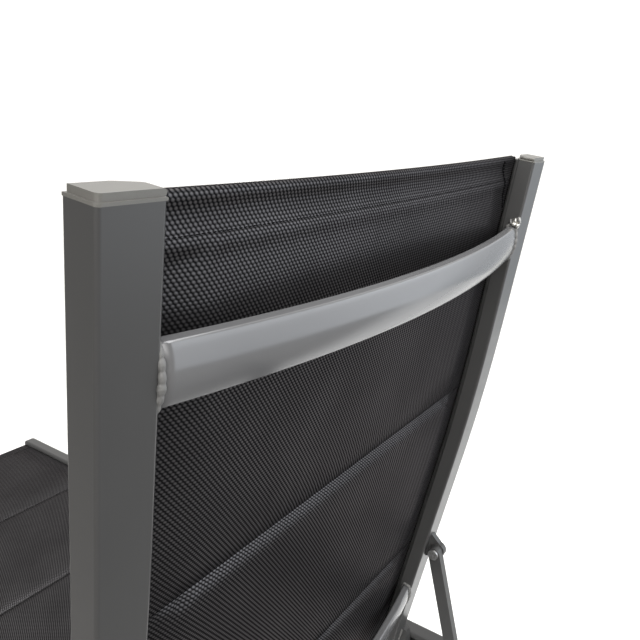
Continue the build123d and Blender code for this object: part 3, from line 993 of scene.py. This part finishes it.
    def _stitches(self) -> Iterable[Mesh]:
        """Thread of each line of sewing, as short tapered stitches lying on the cloth.

        A stitch is a circle carried along a short line; its radius is that of the thread times the
        fourth root of 1 - t * t, and it stands highest at its middle.

        Returns:
            The stitches of one line after another.
        """
        reach = np.array([-0.98, -0.6, 0.0, 0.6, 0.98])
        for face, start, end, radius in self.stitch_lines():
            way = np.array(end) - start
            length = float(np.hypot(*way))
            count = max(1, int(length / self.stitch_pitch))
            share = (np.arange(count) + 0.5)[:, None] / count + reach * (self.stitch_length / 2 / length)
            x, along = start[0] + share * way[0], start[1] + share * way[1]
            depth = self.depth_at(x, along, face)
            cloth = self.place(x, along, depth)
            rise = face.value * radius * (0.9 - 0.7 * reach**2)
            tangents = unit(self.place(x + way[0], along + way[1], depth) - cloth)
            lifts = square_to(tangents, self.place(x, along, depth + face.value * 0.01) - cloth)
            radii = np.broadcast_to(radius * (1 - reach**2) ** 0.25, share.shape)
            yield tubes(self.place(x, along, depth + rise), tangents, lifts, radii, 6, False)


@dataclass
class BackrestSling(PaddedSling):
    """Sling of the backrest, on the bent rails, with its hem at the head."""

    rail: RailLine = field(default_factory=RailLine)
    roll: float = 9.0
    tuck: float = 2.0
    hem_roll: float = 2.4
    roll_run: Pair = (0.25, 0.55)
    hem_bells: tuple[RGB, ...] = ((0.0020, 0.002, 0.005), (0.0026, 0.027, 0.0075))
    pocket_tops: Pair = (0.011, 0.034)
    pocket_run: float = 0.055
    pocket_thread: float = 0.0011
    skew: tuple[float, float, float] = (0.043, 0.0092, -0.0014)
    skew_run: Pair = (0.62, 0.79)

    def _gains(self, face: Face) -> Array:
        """Rise of the padding: a tight roll below each seam, a slow rise above it, and a flat top channel.

        From seam to seam the gain eases from the tuck's at the lower seam to the roll's at the upper
        one, which below the hem is the hem's own.

        Args:
            face: Face of the sling.

        Returns:
            Gain for each row.
        """
        if face is Face.FRONT:
            return super()._gains(face)
        low = np.clip(np.searchsorted(self.seams, self.along, "right") - 1, 0, len(self.seams) - 2)
        seams = np.array(self.seams)
        share = (self.along - seams[low]) / (seams[low + 1] - seams[low])
        ease = eased(share, *self.roll_run)
        top = np.where(low >= len(self.seams) - 3, self.hem_roll, self.roll)
        return self.tuck + (top - self.tuck) * ease

    def _hem(self) -> Array:
        """Folded hem: bell curves for the roll at the edge and for the fullness below the seam."""
        drop = self.seams[-1] - self.along
        return sum(high * np.exp(-(((drop - spot) / width) ** 2)) for high, spot, width in self.hem_bells)

    def place(self, x: Array, along: Array, depth: Array) -> Array:
        """Places beside the rail; towards the head the cloth hangs skew, risen by a quadratic in x."""
        rise = eased(along, *self.skew_run) * np.polyval(self.skew, x)
        return self.rail.points(x, along + rise, depth)

    def stitch_lines(self) -> list[StitchLine]:
        """Seams across both faces, and the pocket seams that show beside the rails at the head."""
        side = self.clear_half - self.stitch_margin
        head = self.seams[-1] - self.stitch_margin
        foot, thread = head - self.pocket_run, self.pocket_thread
        pockets = [
            (face, (sign.value * (side - top), head), (sign.value * side, foot), thread)
            for face in Face
            for sign, top in zip(Side, self.pocket_tops)
        ]
        return super().stitch_lines() + pockets


@dataclass
class SeatSling(PaddedSling):
    """Sling of the seat, flat between the base rails, with its hem at the foot."""

    def place(self, x: Array, along: Array, depth: Array) -> Array:
        """Places at a distance along Y and a height above the floor."""
        return points_of(x, along, depth)


@dataclass(frozen=True)
class Bead:
    """A weld bead laid along a line in a joint between two pieces."""

    line: Array
    lift: Array
    radius: float
    closed: bool
    ripple: float = 0.0042
    lumps: float = 0.26

    def mesh(self) -> Mesh:
        """Rippled tube on the line.

        The radius is the bead's own times 1 plus a ripple that has sharp valleys, as overlapping
        drops do, and two slow waves that keep the drops from being alike.

        Returns:
            Its points and faces.
        """
        ahead = np.roll(self.line, -1, axis=0) - self.line
        behind = self.line - np.roll(self.line, 1, axis=0)
        if not self.closed:
            ahead[-1], behind[0] = behind[-1], ahead[0]
        tangents = unit(ahead + behind)
        lifts = square_to(tangents, np.broadcast_to(self.lift, self.line.shape))
        run = np.concatenate([[0], np.cumsum(np.linalg.norm(ahead[:-1], axis=1))])
        phase = float(self.line[0].sum()) * 37.0
        drops = np.abs(np.sin(math.pi * run / self.ripple + phase)) - 0.6
        waves = 0.5 * np.sin(run * 410 + phase * 3) + 0.5 * np.sin(run * 173 + phase)
        radii = self.radius * (1 + self.lumps * drops + 0.12 * waves)
        return tubes(self.line[None], tangents[None], lifts[None], radii[None], 10, self.closed)


def weld_piece(name: str, body: str, beads: Sequence[Bead], material: Material) -> Piece:
    """Join beads into one piece that rides on a body.

    Args:
        name: Name of the piece.
        body: Body that carries it.
        beads: The beads.
        material: Their finish.

    Returns:
        The piece.
    """
    piece = make_piece(name, *merged(bead.mesh() for bead in beads), material)
    return fit(piece, body, Slot.FRAME)


def flat_oval(height: float, depth: float, count: int = 180) -> Array:
    """Points round a flat oval, evenly spaced.

    Half circles of half the depth stand on the two ends of a straight middle.

    Args:
        height: Overall height.
        depth: Overall depth.
        count: Number of points.

    Returns:
        Height and depth of each point, from the oval's middle.
    """
    radius = depth / 2
    straight = height - depth
    arc = math.pi * radius
    run = np.arange(count) * (2 * (straight + arc) / count)
    second = run >= straight + arc
    run = np.where(second, run - straight - arc, run)
    angle = np.maximum(run - straight, 0) / radius
    level = np.minimum(run, straight) - straight / 2 + radius * np.sin(angle)
    reach = radius * np.cos(angle)
    sign = np.where(second, -1, 1)
    return np.stack([sign * level, sign * reach], axis=-1)


def round_rectangle(width: float, depth: float, corner: float, count: int = 160) -> Array:
    """Points round a rectangle with rounded corners: the power curve of both axes.

    Args:
        width: Overall width.
        depth: Overall depth.
        corner: Corner radius.
        count: Number of points.

    Returns:
        Place of each point from the middle.
    """
    turn = np.arange(count) * (FULL_TURN / count)
    ray = np.stack([np.cos(turn), np.sin(turn)], axis=-1)
    core = np.array([width / 2 - corner, depth / 2 - corner])
    return np.sign(ray.round(9)) * core + ray * corner


@dataclass(frozen=True)
class BowedBar:
    """A bowed crossbar: a tube with a flat front, straight edges and a crowned back."""

    half_span: float
    height: float = 0.0388
    depth: float = 0.013
    crown: float = 0.0045
    corner: float = 0.002
    bow: float = 0.0238
    stations: int = 61

    def outline(self) -> Array:
        """Points round the section, from its middle.

        Corner arcs join the flat front, the straight edges and the crown, an arc that rises by the
        crown's height over the bar's height. A rear corner's centre lies on a circle about the
        crown's centre that is smaller by the corner radius, so that both arcs share a tangent.

        Returns:
            Height and distance to the rear of each point, going round once.
        """
        edge, rear = self.height / 2, self.depth / 2
        radius = (edge**2 + self.crown**2) / (2 * self.crown)
        inner = edge - self.corner
        rise = math.sqrt((radius - self.corner) ** 2 - inner**2)
        meet = math.atan2(rise, inner)
        corner_rear = rear - radius + rise
        corner_front = self.corner - rear
        soft = np.linspace(0.0, 1.0, 7)
        flat = np.array([0.02, 0.25, 0.5, 0.75, 0.98])
        crown = meet + (math.pi - 2 * meet) * np.linspace(0.02, 0.98, 29)
        lower = meet + (math.pi - 2 * meet) + meet * soft
        arcs = [
            (0.0, rear - radius, radius, crown),
            (-inner, corner_rear, self.corner, lower),
            (-inner, corner_front, self.corner, math.pi * (1 + soft / 2)),
            (inner, corner_front, self.corner, math.pi * (1.5 + soft / 2)),
            (inner, corner_rear, self.corner, meet * soft),
        ]
        rings = [np.stack([x + size * np.cos(a), y + size * np.sin(a)], axis=-1) for x, y, size, a in arcs]
        front = np.stack([inner * (2 * flat - 1), np.full(len(flat), -rear)], axis=-1)
        side = corner_front + (corner_rear - corner_front) * flat
        upper_side = np.stack([np.full(len(flat), edge), side], axis=-1)
        lower_side = np.stack([np.full(len(flat), -edge), side[::-1]], axis=-1)
        runs = [rings[0], rings[1], lower_side, rings[2], front, rings[3], upper_side, rings[4]]
        return np.concatenate(runs)

    def surface(self) -> tuple[Array, Array, Array, list[Array]]:
        """Section carried along the bow.

        The bow is an arc through both ends and the point that lies a bow behind their middle. A
        point of the section, at a distance behind the bar's line, runs on the arc whose radius is
        larger by that distance, and the ends are cut square.

        Returns:
            Place across, height and depth in front of the ends' middle of each point, and the faces.
        """
        section = self.outline()
        arc = (self.half_span**2 + self.bow**2) / (2 * self.bow)
        x = np.linspace(-self.half_span, self.half_span, self.stations)[:, None]
        depth = arc - self.bow - np.sqrt((arc + section[None, :, 1]) ** 2 - x**2)
        x, height, depth = np.broadcast_arrays(x, section[None, :, 0], depth)
        count = len(section)
        first = (np.arange(self.stations - 1)[:, None] * count + np.arange(count)[None, :]).reshape(-1)
        beside = first - first % count + (first + 1) % count
        quads = np.stack([first, beside, beside + count, first + count], axis=-1)
        loop = np.arange(count)[None, :]
        ends = [loop[:, ::-1], loop + (self.stations - 1) * count]
        return x.reshape(-1), height.reshape(-1), depth.reshape(-1), [quads, *ends]


def bar_piece(
    name: str, body: str, node: str, points: Array, faces: list[Array], coat: Material
) -> Piece:
    """Make a crossbar's surface a piece that stands for its solid.

    Args:
        name: Name of the piece.
        body: Body that carries it.
        node: Solid that it stands for.
        points: Points of the surface.
        faces: Its quads and its two ends.
        coat: Its finish.

    Returns:
        The piece.
    """
    turned = faces if enclosed_volume(points, faces[0]) > 0 else [block[:, ::-1] for block in faces]
    return fit(make_piece(name, points, turned, coat), body, Slot.FRAME, node)


def evenly_round(outline: Array, count: int) -> Array:
    """Points spaced evenly round a closed outline.

    Args:
        outline: Corners of the outline, going round once.
        count: Number of points wanted.

    Returns:
        The points.
    """
    closed = np.concatenate([outline, outline[:1]])
    run = np.concatenate([[0], np.cumsum(np.linalg.norm(np.diff(closed, axis=0), axis=1))])
    spots = np.arange(count) * (run[-1] / count)
    return np.stack([np.interp(spots, run, closed[:, axis]) for axis in range(2)], axis=-1)


class SubAssembly(ABC):
    """A body of the lounger: its carried-over solids and the pieces made for it."""

    body: str

    def dress(self, palette: Palette) -> int:
        """Give every solid of the body the finish of its slot.

        Args:
            palette: Finishes.

        Returns:
            How many solids were dressed.
        """
        slots = {row["node"]: Slot(row["material_slot"]) for row in frame["record"]["subparts"]}
        nodes = frame["record"]["behaviour"]["bodies"][self.body]
        for node in nodes:
            materials = frame["nodes"][node].data.materials
            materials.clear()
            materials.append(palette.by_slot[slots[node]])
        return len(nodes)

    @abstractmethod
    def build(self, palette: Palette) -> list[Piece]:
        """Build the pieces that the solids leave out."""


@dataclass
class Backrest(SubAssembly):
    """Backrest: padded sling, and the welds of its crossbars and lugs."""

    body: str = "backrest"
    rail_inner: float = 0.262
    half_width: float = 0.300
    sling_half: float = 0.2662
    sling_front: float = 0.0256
    sling_back: float = 0.0238
    lug_thickness: float = 0.012
    bar_proud: float = 0.0008
    bar_lengths: dict[str, float] = field(default_factory=lambda: {"top": 0.7076, "lower": 0.150})
    prop_lug_outer: float = 0.2837
    prop_length: float = 0.245
    prop_lug_reach: float = 0.019
    hinge_lug_span: Pair = (-0.010, 0.058)
    lug_bead: float = 0.0019
    bar_bead: float = 0.0022
    bar_ripple: float = 0.0068
    bar_lumps: float = 0.30
    tack_bead: float = 0.0034
    tack_ripple: float = 0.0058
    tack_lumps: float = 0.16
    tack_inset: float = 0.0012
    tack_span: Pair = (-0.0005, 0.0095)
    tack_lines: tuple[Pair, ...] = ((0.0222, 0.25), (0.0268, -0.45))
    tack_middle: float = 0.004
    seams: tuple[float, ...] = (0.040, 0.245, 0.510, 0.775, 0.798)
    rail: RailLine = field(default_factory=RailLine)

    def build(self, palette: Palette) -> list[Piece]:
        """Build the sling with its sewing, the crossbars and the weld beads."""
        sling = BackrestSling(
            name="backrest_cover",
            body=self.body,
            node="backrest_sling",
            half_width=self.sling_half,
            clear_half=self.rail_inner,
            seams=self.seams,
            front=self.sling_front,
            back=self.sling_back,
            rail=self.rail,
        )
        pieces = sling.build(palette)
        pieces += [self._bar(name, palette.bar_coat_painted_light) for name in self.bar_lengths]
        beads = [self._bar_bead(length, side) for length in self.bar_lengths.values() for side in Side]
        pieces.append(weld_piece("crossbar_welds", self.body, beads, palette.weld))
        pieces.append(weld_piece("crossbar_tack", self.body, self._tack(), palette.bare_weld))
        pieces.append(weld_piece("lug_welds", self.body, self._lug_beads(), palette.weld))
        return pieces

    def _bar(self, name: str, coat: Material) -> Piece:
        """Crossbar between the rails.

        Args:
            name: Which bar, top or lower.
            coat: Its finish.

        Returns:
            The bar, which stands for its solid.
        """
        bar = BowedBar(self.rail_inner)
        x, height, depth, faces = bar.surface()
        middle = bar.depth / 2 - self.bar_proud
        points = self.rail.points(x, self.bar_lengths[name] + height, middle + depth)
        return bar_piece(f"backrest_bar_{name}", self.body, f"backrest_crossbar_{name}", points, faces, coat)

    def _bar_bead(self, length: float, side: Side) -> Bead:
        """Bead round the end of a crossbar, where it meets the rail's inner face.

        Args:
            length: Distance of the crossbar along the rail.
            side: Rail that it meets.

        Returns:
            The bead.
        """
        bar = BowedBar(self.rail_inner)
        outline = evenly_round(bar.outline(), BEAD_POINTS)
        depth = bar.depth / 2 - self.bar_proud - outline[:, 1]
        line = self.rail.points(side.value * self.rail_inner, length + outline[:, 0], depth)
        return Bead(line, side.inward, self.bar_bead, True, self.bar_ripple, self.bar_lumps)

    def _tack(self) -> list[Bead]:
        """Bare tack weld above the top bar's right end: short beads of molten metal side by side."""
        depth = np.linspace(*self.tack_span, 40)
        across = self.rail_inner - self.tack_inset
        lift = unit(np.array([-1.0, 0.0, 0.6]))
        top = self.bar_lengths["top"]
        lines = [
            self.rail.points(across, top + rise + bend * (depth - self.tack_middle), depth)
            for rise, bend in self.tack_lines
        ]
        return [Bead(line, lift, self.tack_bead, False, self.tack_ripple, self.tack_lumps) for line in lines]

    def _lug_beads(self) -> list[Bead]:
        """Beads along the hinge lugs' inner sides and the prop lugs' outer sides."""
        hinge_run = np.linspace(*self.hinge_lug_span, 60)
        prop_run = np.linspace(-self.prop_lug_reach, self.prop_lug_reach, 40) + self.prop_length
        places = ((self.half_width - self.lug_thickness, hinge_run, 1), (self.prop_lug_outer, prop_run, -1))
        return [
            Bead(self.rail.points(side.value * x, run, 0.0), side.inward * way, self.lug_bead, False)
            for side in Side
            for x, run, way in places
        ]


@dataclass
class Base(SubAssembly):
    """Base: padded seat sling, and the welds of crossbars, legs and stretchers."""

    body: str = "base"
    rail_inner: float = 0.303
    bar_places: tuple[float, ...] = (-0.925, -0.070, 0.400, 0.900)
    bar_names: tuple[str, ...] = ("head", "hinge", "middle", "foot")
    bar_z: float = 0.2795
    seat_start: float = -0.104
    seat_hem: float = 0.943
    seat_end: float = 0.968
    seat_channels: int = 4
    leg_x: float = 0.317
    leg_tops: Pair = (-0.760, 0.700)
    leg_top_z: float = 0.270
    leg_slope: float = math.tan(math.radians(8.0))
    leg_section: RGB = (0.024, 0.045, 0.009)
    leg_bead: float = 0.0016
    stretcher_z: float = 0.130
    stretcher_section: Pair = (0.034, 0.016)
    stretcher_bead: float = 0.0020
    bar_bead: float = 0.0022
    sling_half: float = 0.3072
    sling_front: float = 0.3214
    sling_back: float = 0.3196

    def build(self, palette: Palette) -> list[Piece]:
        """Build the seat sling with its sewing, the crossbars and the weld beads."""
        seams = np.linspace(self.seat_start, self.seat_hem, self.seat_channels + 1)
        sling = SeatSling(
            name="seat_cover",
            body=self.body,
            node="seat_sling",
            half_width=self.sling_half,
            clear_half=self.rail_inner,
            seams=(*seams.tolist(), self.seat_end),
            front=self.sling_front,
            back=self.sling_back,
        )
        pieces = sling.build(palette)
        pieces += [self._bar(name, y, palette.bar_coat_painted_light) for name, y in zip(self.bar_names, self.bar_places)]
        pieces.append(weld_piece("base_bar_welds", self.body, self._bar_beads(), palette.weld))
        pieces.append(weld_piece("leg_welds", self.body, self._leg_beads(), palette.weld))
        pieces.append(weld_piece("stretcher_welds", self.body, self._stretcher_beads(), palette.weld))
        return pieces

    def _bar(self, name: str, y: float, coat: Material) -> Piece:
        """Crossbar between the base rails, bowed downwards.

        Args:
            name: Which bar.
            y: Its place along the base.
            coat: Its finish.

        Returns:
            The bar, which stands for its solid.
        """
        x, height, depth, faces = BowedBar(self.rail_inner).surface()
        points = points_of(x, y - height, self.bar_z + depth)
        return bar_piece(f"base_bar_{name}", self.body, f"base_crossbar_{name}", points, faces, coat)

    def _bar_beads(self) -> list[Bead]:
        """Beads round the ends of the base crossbars, on the rails' inner faces."""
        outline = evenly_round(BowedBar(self.rail_inner).outline(), BEAD_POINTS)
        x, z = self.rail_inner, self.bar_z - outline[:, 1]
        return [
            Bead(points_of(side.value * x, y - outline[:, 0], z), side.inward, self.bar_bead, True)
            for side in Side
            for y in self.bar_places
        ]

    def _leg_beads(self) -> list[Bead]:
        """Beads round the legs' tops, under the base rails."""
        edge = round_rectangle(*self.leg_section)
        down = np.array([0.0, 0.0, -1.0])
        lines = [
            points_of(side.value * self.leg_x + edge[:, 0], y + edge[:, 1], self.leg_top_z)
            for side in Side
            for y in self.leg_tops
        ]
        return [Bead(line, down, self.leg_bead, True) for line in lines]

    def _stretcher_beads(self) -> list[Bead]:
        """Beads round the stretchers' ends, on the legs' inner faces."""
        oval = flat_oval(*self.stretcher_section)
        reach = self.leg_slope * (self.leg_top_z - self.stretcher_z)
        x = self.leg_x - self.leg_section[0] / 2
        z = self.stretcher_z + oval[:, 0]
        return [
            Bead(points_of(side.value * x, y + oval[:, 1], z), side.inward, self.stretcher_bead, True)
            for side in Side
            for y in (self.leg_tops[0] - reach, self.leg_tops[1] + reach)
        ]


@dataclass
class Prop(SubAssembly):
    """Prop: the arms and their foot rod, with the rod's welds on the arms."""

    body: str = "prop"
    foot_y: float = -0.2727
    foot_z: float = 0.285
    rod_radius: float = 0.007
    arm_inner: float = 0.2645
    rod_bead: float = 0.0014
    rod_points: int = 90

    def build(self, palette: Palette) -> list[Piece]:
        """Build the beads round the foot rod, on the inner face of each arm."""
        turn = np.arange(self.rod_points) * (FULL_TURN / self.rod_points)
        y = self.foot_y + self.rod_radius * np.cos(turn)
        z = self.foot_z + self.rod_radius * np.sin(turn)
        lines = {side: points_of(side.value * self.arm_inner, y, z) for side in Side}
        beads = [Bead(line, side.inward, self.rod_bead, True) for side, line in lines.items()]
        return [weld_piece("prop_welds", self.body, beads, palette.weld)]


@dataclass(frozen=True)
class Softbox:
    """A soft rectangular studio light aimed at a point."""

    name: str
    place: RGB
    aim: RGB
    size: float
    power: float

    def build(self) -> Piece:
        """Add the light to the scene."""
        lamp = bpy.data.lights.new(self.name, "AREA")
        lamp.shape = "RECTANGLE"
        lamp.size = lamp.size_y = self.size
        lamp.energy = self.power
        light = bpy.data.objects.new(self.name, lamp)
        light.location = self.place
        light.rotation_euler = (Vector(self.aim) - Vector(self.place)).to_track_quat("-Z", "Y").to_euler()
        light.visible_camera = False
        bpy.context.scene.collection.objects.link(light)
        return light


@dataclass
class Studio:
    """Pale floor, soft light and the camera of the photograph."""

    floor_half: float = 14.0
    floor_lines: int = 9
    sky: RGB = (1.0, 0.985, 0.955)
    sky_strength: float = 1.2
    tones: tuple[tuple[float, float, float, float], ...] = (
        (130, 0.45, 0.85, 0.30),
        (285, 0.25, 0.75, 0.25),
        (204, 0.50, 0.95, 5.4),
    )
    wall_line: tuple[Pair, ...] = (
        (-0.1, -2.3),
        (0.47, -2.11),
        (1.7, -1.78),
        (2.7, -1.24),
        (3.05, -0.1),
    )
    wall_height: float = 1.7
    wall_rounding: float = 0.25
    wall_points: int = 60
    wall_levels: int = 5
    lights: tuple[Softbox, ...] = (
        Softbox("overhead", (0.0, -0.35, 2.3), (0.0, -0.3, 1.0), 1.3, 27.0),
        Softbox("rear_top", (0.1, -1.6, 2.3), (0.0, -0.3, 0.9), 0.9, 20.0),
    )
    camera_place: RGB = (-0.4557, -0.5335, 1.0985)
    camera_turn: RGB = (73.75, 0.0, -54.27)
    lens: float = 35.22
    sensor: float = 36.0
    nearest: float = 0.01

    def build(self) -> None:
        """Build floor, surroundings, lights and camera."""
        self._floor()
        self._wall()
        self._surroundings()
        for light in self.lights:
            light.build()
        self._camera()

    def _floor(self) -> None:
        """Flat square grid under the lounger."""
        line = np.linspace(-self.floor_half, self.floor_half, self.floor_lines)
        points = points_of(line[None, :], line[:, None], 0.0).reshape(-1, 3)
        quads = grid_quads(self.floor_lines, self.floor_lines)
        make_piece("floor", points, [quads], StudioFloor().material())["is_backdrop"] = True

    def _wall(self) -> None:
        """Low glowing wall behind the lounger and to its right, which its crossbars mirror.

        The wall stands on a line through given corners, rounded by weighing each point from its
        neighbours along the line, and it rises straight up.
        """
        corners = np.array(self.wall_line)
        run = np.concatenate([[0], np.cumsum(np.linalg.norm(np.diff(corners, axis=0), axis=1))])
        spots = np.linspace(0, run[-1], self.wall_points)
        weigh = np.exp(-(((spots[:, None] - spots[None, :]) / self.wall_rounding) ** 2))
        weigh /= weigh.sum(axis=1, keepdims=True)
        line = weigh @ np.stack([np.interp(spots, run, corners[:, axis]) for axis in range(2)], axis=-1)
        levels = np.linspace(0, self.wall_height, self.wall_levels)
        points = points_of(line[:, :1], line[:, 1:], levels[None, :]).reshape(-1, 3)
        quads = grid_quads(self.wall_points, self.wall_levels)
        wall = make_piece("glowing_wall", points, [quads], WallGlow().material())
        wall.visible_camera = False
        wall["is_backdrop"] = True

    def _surroundings(self) -> None:
        """Pale light from all around, dimmer or stronger towards some directions.

        Each tone is an angle from X, where its share starts and is full, as cosines, and its strength.
        """
        graph = Graph(bpy.data.worlds.new("studio"), "ShaderNodeOutputWorld")
        way = graph.node("ShaderNodeTexCoord", {}, {}, "Generated")
        across, along = graph.part(way, "X"), graph.part(way, "Y")
        colour: Any = shade(self.sky, self.sky_strength)
        for angle, low, high, strength in self.tones:
            turn = math.radians(angle)
            share = (across * math.cos(turn) + along * math.sin(turn)).smooth(low, high)
            colour = graph.mix(share, colour, shade(self.sky, strength))
        light = graph.node("ShaderNodeBackground", {}, {"Color": colour, "Strength": 1.0})
        bpy.context.scene.world = graph.close(light)

    def _camera(self) -> None:
        """Camera at the photograph's place, with its lens."""
        lens = bpy.data.cameras.new("camera")
        lens.lens = self.lens
        lens.sensor_width = self.sensor
        lens.clip_start = self.nearest
        camera = bpy.data.objects.new("camera", lens)
        camera.location = self.camera_place
        camera.rotation_euler = tuple(math.radians(angle) for angle in self.camera_turn)
        bpy.context.scene.collection.objects.link(camera)
        bpy.context.scene.camera = camera
        bpy.context.scene.view_settings.view_transform = "Standard"


def main() -> None:
    """Build the studio and the lounger, body by body, and work out its bounds."""
    logging.basicConfig(level=logging.INFO, format="%(name)s: %(message)s")
    Studio().build()
    palette = Palette()
    for assembly in (Base(), Backrest(), Prop()):
        dressed = assembly.dress(palette)
        LOG.info("%s: %d solids dressed", assembly.body, dressed)
        for piece in assembly.build(palette):
            LOG.info("%s: %d faces on %s", piece.name, len(piece.data.polygons), assembly.body)
    boxes = {"cad": CAD_BOX, "visual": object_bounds()}
    plain = {name: [list(corner) for corner in box] for name, box in boxes.items()}


if __name__ == "__main__":
    main()
